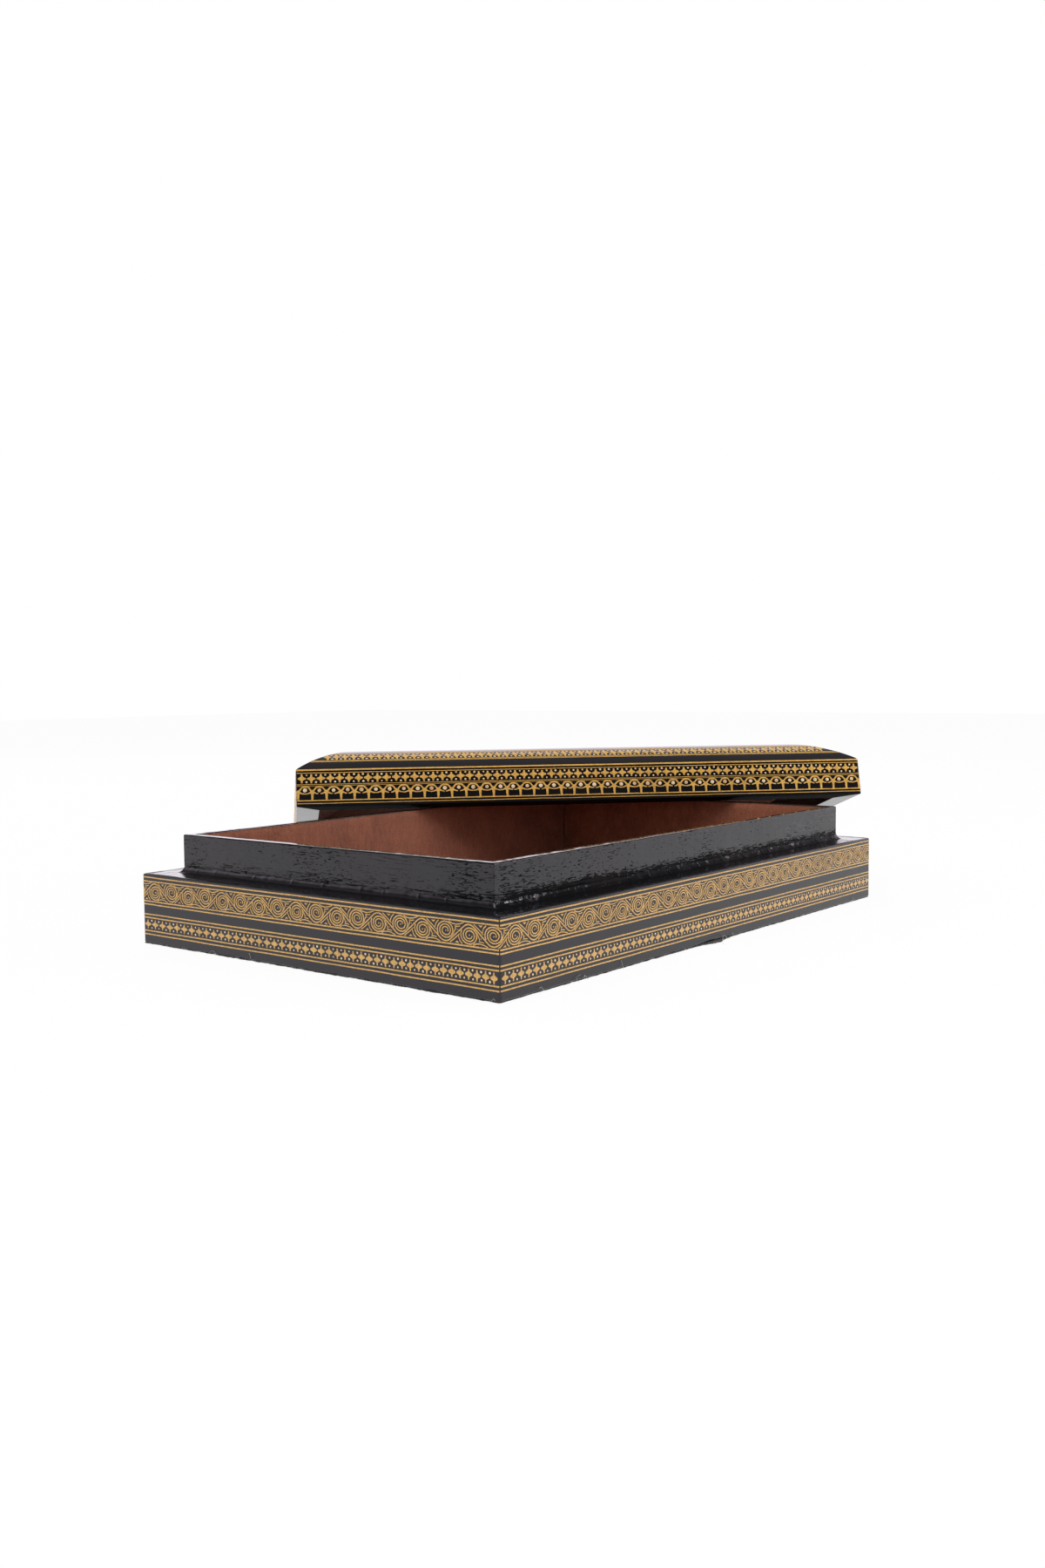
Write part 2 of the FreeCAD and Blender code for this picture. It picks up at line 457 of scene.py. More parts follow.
def painted_line(gold, start, end, v, width, seed):
    """A long line, drawn with a slight wander and a heavier touch at its ends."""
    s = np.linspace(start, end, max(12, int((end - start) / 3.2)))
    fine = np.array([start + d for d in (0.15, 0.35, 0.6, 0.9, 1.3)])
    s = np.sort(np.concatenate([s, fine, end - (fine - start)]))
    wander = 0.07 * noise(s / 14, seed * 3.7, 1) + 0.03 * noise(s / 3.5, seed * 1.3, 2)
    gold.stroke(np.stack([s, v + wander], axis=1), width, swell=0.22)


# Running spirals: a vine that passes over one coil and under the next

VINE_RADIUS = 3.80
SPIRAL_SWAY = 0.33
SPIRAL_LINE = 0.57
COIL_TURNS = 2.62
COIL_SHIFT = (0.28, 0.08)
COIL_REACH = (4.05, 3.42)
COIL_TIGHTENING = 0.285
COIL_BRANCH = math.radians(28)
COIL_POINTS = 44
COIL_DOT = 0.36
SPIRAL_UNIT = 8.8
ARC_POINTS = 11
HALF_ARC = ARC_POINTS // 2
VINE_STEP = 0.45

# Near a corner a coil's strokes get finer points, and its small patches are left out where
# the corner would cut them: how far along they are from the coil, and how near is too near
BEND_STEP = 0.3
BEND_REACH = 10.0
WEDGE_PLACE = (-5.6, 1.9)
DOT_PLACE = (5.7, 0.8)

# Strokes in the gaps beside a coil with the vine beneath it, from the coil's middle
GAP_STROKES = (
    ((-9.0, 3.42), (-7.2, 2.15), (-5.8, 1.1), (-4.45, -0.05)),
    ((-3.2, 3.50), (-4.3, 2.45), (-4.85, 1.3), (-4.95, 0.7)),
    ((1.8, 3.50), (3.3, 2.90), (5.2, 2.72), (7.2, 3.02), (8.9, 3.62)),
    ((4.6, 2.02), (5.8, 1.95), (7.1, 2.20)),
    ((4.85, 2.0), (4.98, 1.1), (4.35, 0.1), (3.75, -1.1), (2.7, -2.05)),
)
GAP_WEDGE = ((-6.95, 3.42), (-5.8, 3.25), (-4.75, 3.48), (-5.65, 2.45))
GAP_DOT = (5.75, 0.95)
GAP_DOT_RADIUS = 0.27
GAP_STROKE = 0.86 * SPIRAL_LINE


def vine_line(middles, sways, radius):
    """The vine's line past all the coils: arcs joined by straight runs."""
    line = []
    for i, (middle, sway) in enumerate(zip(middles, sways)):
        over = sway < 0
        before = middles[i] - middles[i - 1] if i else middles[1] - middles[0]
        after = middles[i + 1] - middles[i] if i + 1 < len(middles) else before

        def sweep(pitch):
            fall = math.asin(min(2 * radius / math.hypot(pitch, 2 * sway), 0.98))
            return math.pi / 2 - fall + math.atan2(2 * abs(sway), pitch)

        first, last = math.pi - sweep(before), sweep(after)
        angles = np.linspace(first, last, ARC_POINTS)
        if not over:
            angles = -angles
        line += [(middle + radius * math.cos(a), sway + radius * math.sin(a)) for a in angles]
    return np.array(line)


def coil(gold, middle, scale, over, hand, step):
    """One spiral that branches off the vine at its left and winds in to a dot."""
    turns = COIL_TURNS + hand.by(0.10)
    share = np.linspace(0, 1, COIL_POINTS)
    ring = 1 - COIL_TIGHTENING * (share * turns - 0.08)
    angles = math.pi + COIL_BRANCH - share * turns * 2 * math.pi
    flip = -1 if over else 1
    wobble = 1 + 0.02 * np.sin(angles + hand.by(3))
    x = middle[0] + scale * (COIL_SHIFT[0] + COIL_REACH[0] * ring * wobble * np.cos(angles))
    y = middle[1] + scale * flip * (COIL_SHIFT[1] + COIL_REACH[1] * ring * wobble * np.sin(angles))
    gold.stroke(np.stack([x, y], axis=1), SPIRAL_LINE * scale, taper=0.2, step=step)
    eye = (middle[0] + scale * 0.22 + hand.by(0.08), middle[1] + hand.by(0.08))
    gold.dot(eye, hand.near(COIL_DOT * scale, 0.1), 8)


def gap_strokes(gold, middle, scale, over, hand, step, patches):
    """The small nested strokes in the gaps on either side of a coil, away from the vine."""
    flip = -1 if over else 1

    def at(point):
        x = middle[0] + point[0] * scale + hand.by(0.07)
        return (x, middle[1] + (point[1] * scale + hand.by(0.05)) * flip)

    for points in GAP_STROKES:
        line = [at(point) for point in points]
        width = hand.near(GAP_STROKE * scale, 0.08)
        gold.stroke(line, width, taper=0.25, step=step)
    if patches:
        gold.patch([at(point) for point in GAP_WEDGE][:: -flip])
        gold.dot(at(GAP_DOT), GAP_DOT_RADIUS * scale, 7)


def spiral_band(gold, start, pitch, count, edges, seed, wrap=None):
    """A run of spirals from start on. Round a whole box it closes on itself."""
    hand = Hand(seed)
    bottom, top = edges
    v_middle = (bottom + top) / 2
    scale = (top - bottom) / SPIRAL_UNIT
    middles = [start + pitch * i + hand.by(0.12) for i in range(count)]
    sways = [SPIRAL_SWAY * scale * (-1 if i % 2 == 0 else 1) for i in range(count)]
    if wrap:
        middles.append(middles[0] + wrap.length)
        sways.append(sways[0])
    vine = vine_line(middles, sways, VINE_RADIUS * scale)
    if wrap:
        closing = vine[:HALF_ARC + 1] + (wrap.length, 0)
        vine = np.concatenate([vine[HALF_ARC:-ARC_POINTS], closing])
    gold.stroke(vine + (0, v_middle), SPIRAL_LINE * scale, step=VINE_STEP)
    for i in range(count):
        over = i % 2 == 0
        middle = (middles[i], v_middle + sways[i])
        bend = wrap and wrap.near_corner(middle[0], BEND_REACH)
        step = BEND_STEP if bend else None
        cut = wrap and any(
            wrap.near_corner(middle[0] + place, reach) for place, reach in (WEDGE_PLACE, DOT_PLACE)
        )
        coil(gold, middle, scale, over, hand, step)
        if wrap or 0 < i < count - 1:
            gap_strokes(gold, middle, scale, over, hand, step, not cut)


# Crosses in a row, with cream dots in the gaps above and below

# A band's middle line and pitch, how far its crosses' arms reach and how thick they are, the
# body's half sizes, and how far the dots stand from the middle line, with their radius
Band = namedtuple("Band", "middle pitch reach up across_arm up_arm body dots")


def cross_outline(band, x, y, step, hand):
    along, up = band.reach * step + hand.by(0.08), band.up + hand.by(0.14)
    wide, tall = band.body
    flat, thin = band.across_arm, band.up_arm
    quarter = [
        (along, 0.0), (along * 0.94, flat * 0.8), ((along + wide) / 2, flat),
        (wide, tall * 0.62), (wide * 0.6, tall * 0.92), (thin * 1.25, tall * 1.12),
        (thin * 0.85, (up + tall) / 2), (thin, up * 0.88), (thin * 0.6, up * 0.98), (0.0, up),
    ]
    half = quarter + [(-a, b) for a, b in quarter[-2::-1]]
    whole = half + [(a, -b) for a, b in half[-2:0:-1]]
    return [(x + a + hand.by(0.05), y + b + hand.by(0.05)) for a, b in whole]


def cross_places(start, end, pitch, drift):
    """Places of the crosses and of the gaps between them. drift stretches the first ones."""
    count = max(2, round((end - start) / pitch))
    share = np.linspace(0, 1, 2 * count + 1)
    share = share + drift * share * (1 - share)
    places = start + (end - start) * share
    return places[1::2], places[2:-1:2]


def cross_band(gold, cream, start, end, band, seed, drift=0.0):
    """A row of crosses, and the dots between them."""
    hand = Hand(seed)
    crosses, gaps = cross_places(start, end, band.pitch, drift)
    for x, own in zip(crosses, np.gradient(crosses)):
        middle = (x + hand.by(0.12), band.middle + hand.by(0.12))
        gold.patch(cross_outline(band, *middle, own, hand), crown=1.25, rim=0.88)
    spread, radius = band.dots
    for x in gaps:
        for sign in (-1, 1):
            spot = (x + hand.by(0.14), band.middle + sign * (spread + hand.by(0.12)))
            cream.dot(spot, hand.near(radius, 0.16))


# The eye arcade of the lid's sides: pillars that branch into arches round dots. Half of a
# pillar's outline is given, from its middle line.
PILLAR = ((0.52, 3.25), (0.60, 4.8), (0.66, 6.3), (1.25, 6.95), (1.05, 7.9), (0.35, 8.55))
PILLAR_TOP = 8.75


def pillar(x, tilt):
    (foot, bottom), *upper = PILLAR
    right = [(x + a, b) for a, b in upper]
    left = [(x - a, b) for a, b in reversed(upper)]
    return [(x - foot + tilt, bottom), (x + foot + tilt, bottom), *right, (x, PILLAR_TOP), *left]


def eye_band(gold, cream, start, end, pitch, hand):
    count = max(2, round((end - start) / pitch))
    step = (end - start) / count
    pillars = [start + i * step + (hand.by(0.3) if 0 < i < count else 0) for i in range(count + 1)]
    for x in pillars:
        gold.patch(pillar(x, hand.by(0.14)), crown=1.15, rim=0.9)
    for left, right in zip(pillars, pillars[1:]):
        x = (left + right) / 2 + hand.by(0.12)
        lift = hand.by(0.10)
        gold.stroke([
            (left + 0.4, 7.9), (left + 1.2, 8.95), (x - 1.75, 9.8 + lift), (x - 0.8, 10.15 + lift),
            (x + 0.8, 10.15 + lift), (x + 1.75, 9.8 + lift), (right - 1.2, 8.95), (right - 0.4, 7.9),
        ], hand.near(0.92, 0.08))
        open_gap = hand.random.choice((0.0, 0.35, 0.55))
        for sign, root in ((-1, left), (1, right)):
            inward = -sign
            gold.stroke([
                (root + inward * 0.7, 7.55), (root + inward * 1.6, 6.98),
                (x + sign * 1.3, 6.72), (x + sign * open_gap, 6.55 + hand.by(0.1)),
            ], hand.near(0.80, 0.1), taper=0.35)
        cream.dot((x + hand.by(0.22), 8.38 + lift), hand.near(1.12, 0.08), 14, crown=1.9)


# Materials

class Tree:
    """A short way to write a node tree."""

    def __init__(self, tree):
        self.tree = tree

    def add(self, kind, inputs=None, **settings):
        node = self.tree.nodes.new("ShaderNode" + kind)
        for key, value in settings.items():
            setattr(node, key, value)
        for key, value in (inputs or {}).items():
            self.feed(node.inputs[key], value)
        return node

    def feed(self, socket, value):
        if isinstance(value, bpy.types.NodeSocket):
            self.tree.links.new(value, socket)
        else:
            socket.default_value = value

    def math(self, operation, first, second=0.0):
        return self.add("Math", {0: first, 1: second}, operation=operation).outputs[0]

    def vector_math(self, operation, first, second):
        inputs = {0: first, 1: second}
        return self.add("VectorMath", inputs, operation=operation).outputs["Value"]

    def span(self, value, source, target):
        """A value eased from one range to another."""
        inputs = dict(zip(("From Min", "From Max", "To Min", "To Max"), (*source, *target)))
        inputs["Value"] = value
        return self.add("MapRange", inputs, interpolation_type="SMOOTHSTEP").outputs["Result"]

    def over(self, share, below, above):
        return self.add("MixShader", {0: share, 1: below, 2: above}).outputs[0]


class Nodes(Tree):
    """A material's node tree, in the base's own directions or turned to the lid's."""

    def __init__(self, name, turned=False):
        self.material = bpy.data.materials.new(name)
        self.material.use_nodes = True
        super().__init__(self.material.node_tree)
        self.shader = self.tree.nodes["Principled BSDF"]
        self.turned = turned

    def set(self, **inputs):
        for key, value in inputs.items():
            self.feed(self.shader.inputs[key.replace("_", " ")], value)

    def coordinates(self, scale=(1, 1, 1)):
        """Object coordinates, scaled per metre."""
        place = self.add("TexCoord").outputs["Object"]
        if self.turned:
            back = LID_PLACE.to_3x3().inverted().to_euler()
            place = self.add("Mapping", {"Vector": place, "Rotation": back}).outputs[0]
        return self.add("Mapping", {"Vector": place, "Scale": scale}).outputs[0]

    def noise(self, vector, scale=1.0, detail=3.0, roughness=0.5, distortion=0.0):
        inputs = {
            "Vector": vector, "Scale": scale, "Detail": detail,
            "Roughness": roughness, "Distortion": distortion,
        }
        return self.add("TexNoise", inputs).outputs["Fac"]

    def grain(self, scale, detail=3.0, roughness=0.5, distortion=0.0):
        """Noise drawn out by its own scale in each direction."""
        return self.noise(self.coordinates(scale), 1.0, detail, roughness, distortion)

    def split(self, vector, axis):
        return self.add("SeparateXYZ", {"Vector": vector}).outputs[axis]

    def ramp(self, value, stops):
        """A colour ramp. Each stop is a place and a colour or a grey."""
        node = self.add("ValToRGB", {"Fac": value})
        elements = node.color_ramp.elements
        while len(elements) < len(stops):
            elements.new(0.5)
        for element, (place, colour) in zip(elements, stops):
            element.position = place
            grey = isinstance(colour, (int, float))
            element.color = (colour, colour, colour, 1) if grey else (*colour, 1)
        return node.outputs["Color"]

    def mix(self, share, first, second):
        return self.add("Mix", {0: share, 6: first, 7: second}, data_type="RGBA").outputs[2]

    def bump(self, height, distance, strength=1.0, after=None):
        inputs = {"Height": height, "Distance": distance, "Strength": strength}
        if after is not None:
            inputs["Normal"] = after
        return self.add("Bump", inputs).outputs[0]


LACQUER_BLACK = (0.0060, 0.0062, 0.0072, 1)
LACQUER_BROWN = (0.0110, 0.0088, 0.0090, 1)

# Specular levels of the coat where it shines, where it is turned off as painted shade, at painted
# glints, on the ledges where it is raised as painted reflection, and on the lid's rim, which is made
# matte and turned off as painted shade
SHINE = 0.5
PAINTED_SHADE_SHINE = 0.03
PAINTED_GLINT_SHINE = 0.7
LEDGE_SHINE = 0.9
RIM_SHADE_SHINE = 0.02
RUBBED_ROUGH = (0.8, 0.8, 0.8, 1)
LACQUER_TINT = (0.97, 0.92, 1.0, 1)
LACQUER_IOR = 1.53

# Painted shade: where the lacquer's shine is turned off, more of it round the collar's front corner,
# and low on its long boards. A share says how far the painted shade gains there.
COLLAR_CORNER = (-COLLAR_LENGTH / 2 * MM, -COLLAR_WIDTH / 2 * MM, 0.040)
CORNER_FADE = (0.006, 0.045)
CORNER_SHARE = 0.062
FOOT_FADE = (0.0335, 0.0385)
FOOT_SHARE = 0.27
LONG_BOARD_START = (-0.1385, -0.132)
SHORT_BOARD_SHARE = 0.22
# Painted glints on the front ledge gather by the collar's front corner, and a painted shine starts
# past the collar's end
GLINT_FADE = (0.010, 0.050)
GLINT_SHARE = 0.11
COLLAR_END = (COLLAR_LENGTH / 2 * MM - 0.004, COLLAR_LENGTH / 2 * MM + 0.001)


def near_corner(n, plain, fade, most):
    """A value that fades with the distance from the collar's front corner."""
    return n.span(n.vector_math("DISTANCE", plain, COLLAR_CORNER), fade, (most, 0.0))


def shine_with_painted_shade(n):
    """Painted shade: level dashes and pits whose shine is turned off so they show black, more of it
    by the front corner and low down.
    """
    plain = n.coordinates()
    by_corner = near_corner(n, plain, CORNER_FADE, CORNER_SHARE)
    # Painted shade low on the collar's boards, only a share of it on the left board
    by_foot = n.math(
        "MULTIPLY",
        n.span(n.split(plain, "Z"), FOOT_FADE, (FOOT_SHARE, 0.0)),
        n.span(n.split(plain, "X"), LONG_BOARD_START, (SHORT_BOARD_SHARE, 1.0)),
    )
    dashes = n.grain((190, 190, 2100), 2.0)
    pits = n.grain((430, 430, 1900), 1.0)
    patches = n.span(n.noise(plain, 38.0, 2.0), (0.42, 0.66), (-0.045, 0.03))
    painted_shade = n.math("ADD", n.math("MAXIMUM", dashes, pits), patches)
    painted_shade = n.math("ADD", painted_shade, n.math("ADD", by_corner, by_foot))
    return n.ramp(painted_shade, [(0.655, SHINE), (0.685, PAINTED_SHADE_SHINE)])


def painted_ledge_glints(n):
    """Painted reflection on the front ledge: its shine turned off as painted shade but for sparse
    painted glints, more of them by its corner, and a painted shine past the collar.
    """
    plain = n.coordinates()
    by_corner = near_corner(n, plain, GLINT_FADE, GLINT_SHARE)
    past = n.span(n.split(plain, "X"), COLLAR_END, (0.0, 0.5))
    glints = n.grain((420, 420, 420), 2.0)
    glints = n.math("ADD", glints, n.math("ADD", by_corner, past))
    return n.ramp(glints, [(0.62, PAINTED_SHADE_SHINE), (0.70, PAINTED_GLINT_SHINE)])


def rim_shade(n):
    """Painted shade on the lid's rim: one there, where the coat's shine is turned off and it is made
    matte, and nothing above it.
    """
    rim = (LID_PLACE.to_3x3().inverted() @ LID_PLACE.translation).z * MM
    height = n.split(n.coordinates(), "Z")
    return n.span(height, (rim + 0.0002, rim + 0.0007), (1.0, 0.0))


def lacquer(
    name, turned=False, gloss=0.12, streaks=0.3, peel=0.15, specular=SHINE, shine=None, rubbed_and_rim_shade=False
):
    """Black lacquer brushed in level strokes: streaks, orange peel, faint brown and dust."""
    n = Nodes(name, turned)
    level = n.coordinates((28, 28, 900))
    plain = n.coordinates()
    streak = n.noise(level, 1.0, 4.0, 0.6)
    fine = n.grain((120, 120, 2600), 2.0)
    wave = n.noise(plain, 60.0, 2.0)
    dust = n.noise(plain, 1900.0, 2.0, 0.6)
    tone = n.noise(plain, 22.0, 3.0)
    colour = n.mix(n.ramp(tone, [(0.35, 0.0), (0.7, 1.0)]), LACQUER_BLACK, LACQUER_BROWN)
    specks = n.ramp(dust, [(0.70, 0.0), (0.80, 0.35)])
    colour = n.mix(specks, colour, (0.05, 0.045, 0.045, 1))
    rough = n.ramp(n.noise(level, 1.7, 3.0), [(0.3, gloss * 0.7), (0.75, gloss * 1.5)])
    relief = n.bump(wave, 0.0006, peel)
    relief = n.bump(streak, 0.00010, streaks, relief)
    relief = n.bump(fine, 0.00003, streaks, relief)
    n.set(Base_Color=colour, Roughness=rough, Normal=relief, IOR=LACQUER_IOR)
    # A shine function, where given, paints shade and glints into the coat's specular level
    n.set(Specular_IOR_Level=shine(n) if shine else specular)
    n.set(Specular_Tint=LACQUER_TINT)
    # Painted shade: the rim's shine is turned off, and its coat made matte
    if rubbed_and_rim_shade:
        rim = rim_shade(n)
        n.set(
            Specular_IOR_Level=n.ramp(rim, [(0.2, SHINE), (0.8, RIM_SHADE_SHINE)]),
            Roughness=n.mix(rim, rough, RUBBED_ROUGH),
        )
    return n.material


def gold_paint(name, pale, metal, turned=False):
    """Gold paint under a thin varnish, streaky and a little uneven in tone."""
    n = Nodes(name, turned)
    plain = n.coordinates()
    tone = n.noise(plain, 900.0, 3.0, 0.6)
    cloud = n.noise(plain, 45.0, 2.0)
    deep = np.multiply(pale, (0.72, 0.62, 0.46))
    rubbed_and_rim_shade = np.multiply(pale, (0.40, 0.36, 0.36))
    colour = n.ramp(tone, [(0.30, deep), (0.62, pale)])
    colour = n.mix(n.ramp(cloud, [(0.52, 0.0), (0.75, 0.35)]), colour, (*rubbed_and_rim_shade, 1))
    rough = n.ramp(n.noise(plain, 500.0, 2.0), [(0.3, 0.34), (0.7, 0.52)])
    relief = n.bump(n.noise(plain, 2500.0, 2.0), 0.00004, 0.6)
    n.set(Base_Color=colour, Roughness=rough, Normal=relief, Metallic=metal)
    n.set(Coat_Weight=0.5, Coat_Roughness=0.16)
    return n.material


def cream_paint(name):
    """Dots of cream paint, a few of them browned by the varnish."""
    n = Nodes(name)
    plain = n.coordinates()
    colour = n.ramp(
        n.noise(plain, 260.0, 2.0),
        [(0.34, (0.66, 0.42, 0.20)), (0.50, (0.84, 0.64, 0.41)), (0.7, (0.91, 0.76, 0.56))],
    )
    relief = n.bump(n.noise(plain, 2200.0, 2.0), 0.00004, 0.5)
    n.set(Base_Color=colour, Roughness=0.42, Normal=relief, Coat_Weight=0.4, Coat_Roughness=0.2)
    return n.material


def velvet(name, turned=False):
    """Brown velvet: pale where the pile leans, darker where it stands, with a fine weave."""
    n = Nodes(name, turned)
    plain = n.coordinates()
    lean = n.noise(plain, 55.0, 4.0, 0.62, 0.6)
    tuft = n.noise(plain, 1500.0, 3.0, 0.6)
    nap = n.grain((900, 900, 160))
    colour = n.ramp(
        lean,
        [(0.25, (0.21, 0.074, 0.042)), (0.55, (0.34, 0.118, 0.062)), (0.8, (0.42, 0.155, 0.084))],
    )
    colour = n.mix(n.ramp(tuft, [(0.35, 0.55), (0.6, 0.0)]), colour, (0.13, 0.052, 0.038, 1))
    colour = n.mix(n.ramp(nap, [(0.5, 0.0), (0.75, 0.3)]), colour, (0.50, 0.22, 0.125, 1))
    relief = n.bump(tuft, 0.0004, 0.8)
    relief = n.bump(nap, 0.0003, 0.5, relief)
    n.set(Base_Color=colour, Roughness=0.95, Normal=relief)
    n.set(Sheen_Weight=0.60, Sheen_Roughness=0.45, Sheen_Tint=(0.80, 0.66, 0.66, 1))
    n.set(Specular_IOR_Level=0.2)
    return n.material


def felt(name):
    """Black-brown cloth of matted fibre."""
    n = Nodes(name)
    plain = n.coordinates()
    mat = n.noise(plain, 700.0, 5.0, 0.7, 1.2)
    threads = n.grain((2600, 500, 500), 2.0, distortion=2.0)
    colour = n.ramp(mat, [(0.3, (0.012, 0.010, 0.011)), (0.6, (0.045, 0.037, 0.036))])
    colour = n.mix(n.ramp(threads, [(0.62, 0.0), (0.72, 0.6)]), colour, (0.16, 0.13, 0.115, 1))
    relief = n.bump(mat, 0.0005, 0.9)
    n.set(Base_Color=colour, Roughness=0.95, Normal=relief, Specular_IOR_Level=0.15)
    n.set(Sheen_Weight=0.25, Sheen_Roughness=0.5)
    return n.material


def fibre(name, colour):
    n = Nodes(name)
    dark = np.multiply(colour, 0.55)
    tone = n.ramp(n.noise(n.coordinates(), 800.0, 2.0), [(0.3, dark), (0.7, colour)])
    n.set(Base_Color=tone, Roughness=0.85, Sheen_Weight=0.2)
    return n.material


def pasteboard(name):
    """Pressed grey-brown paper board, with layers and flecks."""
    n = Nodes(name)
    plain = n.coordinates()
    layers = n.grain((40, 40, 2600), 3.0, 0.6)
    flecks = n.noise(plain, 1200.0, 4.0, 0.7)
    colour = n.ramp(layers, [(0.3, (0.20, 0.145, 0.09)), (0.7, (0.33, 0.255, 0.17))])
    colour = n.mix(n.ramp(flecks, [(0.6, 0.0), (0.75, 0.6)]), colour, (0.09, 0.07, 0.05, 1))
    relief = n.bump(layers, 0.0002, 0.6)
    n.set(Base_Color=colour, Roughness=0.9, Normal=relief)
    return n.material


BLACK_BASE = lacquer("black_lacquer_base")
BLACK_LID = lacquer("black_lacquer_lid", turned=True, gloss=0.10)
# Lid lacquer with painted shade on its rim
BLACK_LID_SHADED_RIM = lacquer("black_lacquer_lid_shaded_rim", turned=True, gloss=0.10, rubbed_and_rim_shade=True)
THICK_COAT = {"gloss": 0.06, "streaks": 0.8, "peel": 0.5}
# Collar lacquer with painted shade in its shine
BLACK_COLLAR = lacquer("black_lacquer_collar", shine=shine_with_painted_shade, **THICK_COAT)
# The ledges shine more than the rest of the lacquer as painted reflection; the front ledge has
# painted shade with painted glints
BLACK_LEDGE = lacquer("black_lacquer_ledge", specular=LEDGE_SHINE, **THICK_COAT)
BLACK_LEDGE_FRONT = lacquer("black_lacquer_ledge_front", shine=painted_ledge_glints, **THICK_COAT)
GOLD_BASE = gold_paint("gold_paint_base", (0.77, 0.47, 0.145), 0.32)
GOLD_LID = gold_paint("gold_paint_lid", (0.90, 0.54, 0.125), 0.12, turned=True)
CREAM = cream_paint("cream_paint")
VELVET_BASE = velvet("brown_velvet_base")
VELVET_LID = velvet("brown_velvet_lid", turned=True)
FELT = felt("underside_felt")
PASTEBOARD = pasteboard("pasteboard")
LINT = fibre("lint", (0.74, 0.69, 0.67))
PILE = fibre("velvet_pile", (0.30, 0.12, 0.07))


# CAD pieces that stay, with their finish

def finish_node(node, material):
    materials = frame["nodes"][node].data.materials
    materials.clear()
    materials.append(material)


for side in SIDES:
    finish_node(side + "_wall", BLACK_BASE)
    # The lid's front and back walls get painted shade on their rim
    lid_black = BLACK_LID if side in ("left", "right") else BLACK_LID_SHADED_RIM
    finish_node("lid_" + side + "_wall", lid_black)
finish_node("bottom_board", PASTEBOARD)


# Base: gold and cream ornament on the walls

BASE_LINES = (29.7, 28.0, 19.2, 17.8, 13.4, 11.9, 6.1, 4.5)
LINE_WIDTH = 0.62
CORNER_GAP = 0.22
BASE_SPIRALS = (19.2, 28.0)
SPIRAL_COUNT = 90
SPIRAL_START = 8.6
BASE_CROSSES = Band(9.0, 4.5, 0.455, 2.20, 0.42, 0.36, (1.42, 0.90), (1.55, 0.48))
LEFT_DRIFT = 0.13


def both_pieces(name, gold, cream, surface, gold_material):
    gold.piece(name + "_gold", surface, gold_material, "gold_paint")
    cream.piece(name + "_cream", surface, CREAM, "cream_paint")


def line_piece(name, wrap, heights, widths, material):
    gold = Paint()
    for i, (start, end) in enumerate(wrap.runs(CORNER_GAP)):
        for k, (v, width) in enumerate(zip(heights, widths)):
            painted_line(gold, start, end, v, width, 10 * i + k)
    gold.piece(name, wrap, material, "gold_paint")


def base_ornament():
    wrap = Wrap("base")
    line_piece("base_lines", wrap, BASE_LINES, [LINE_WIDTH] * len(BASE_LINES), GOLD_BASE)
    gold = Paint()
    pitch = wrap.length / SPIRAL_COUNT
    spiral_band(gold, SPIRAL_START, pitch, SPIRAL_COUNT, BASE_SPIRALS, 31, wrap)
    gold.piece("base_spirals", wrap, GOLD_BASE, "gold_paint")
    gold, cream = Paint(), Paint()
    for i, (start, end) in enumerate(wrap.runs(0.5)):
        drift = LEFT_DRIFT if SIDES[i] == "left" else 0.0
        cross_band(gold, cream, start, end, BASE_CROSSES, 41 + i, drift)
    both_pieces("base_crosses", gold, cream, wrap, GOLD_BASE)


base_ornament()


# Lid: ornament on its sides, shoulder and flat

LID_LINES = (1.6, 3.1, 10.72, 11.45, 17.5, 19.1)
LID_LINE_WIDTHS = (0.40, 0.62, 0.26, 0.34, 0.42, 0.90)
LID_EYE_PITCH = 7.26
LID_CROSSES = Band(14.55, 4.8, 0.475, 2.40, 0.50, 0.50, (1.35, 1.05), (1.85, 0.58))
SHOULDER_LINES = (28.4, 29.8, 41.2, 42.6)
SHOULDER_CROSSES = Band(35.5, 4.55, 0.48, 4.8, 0.65, 0.62, (1.35, 2.0), (3.3, 0.78))
FIELD_LINES = (73.0, 74.6, 83.4, 85.0)
FIELD_SPIRALS = (74.8, 83.2)
FIELD_SPIRAL_PITCH = 1.28


def lid_ornament():
    wrap = Wrap("lid")
    line_piece("lid_lines", wrap, LID_LINES, LID_LINE_WIDTHS, GOLD_LID)
    gold, cream = Paint(), Paint()
    for i, (start, end) in enumerate(wrap.runs(0.75)):
        eye_band(gold, cream, start, end, LID_EYE_PITCH, Hand(61 + i))
    both_pieces("lid_eyes", gold, cream, wrap, GOLD_LID)
    gold, cream = Paint(), Paint()
    for i, (start, end) in enumerate(wrap.runs(0.4)):
        cross_band(gold, cream, start, end, LID_CROSSES, 71 + i)
    both_pieces("lid_crosses", gold, cream, wrap, GOLD_LID)


def shortened(half, v):
    """Half the run of a band at v, where the lid's mitres draw it in."""
    return half - float(lid_profile(v)[0]) - 0.4


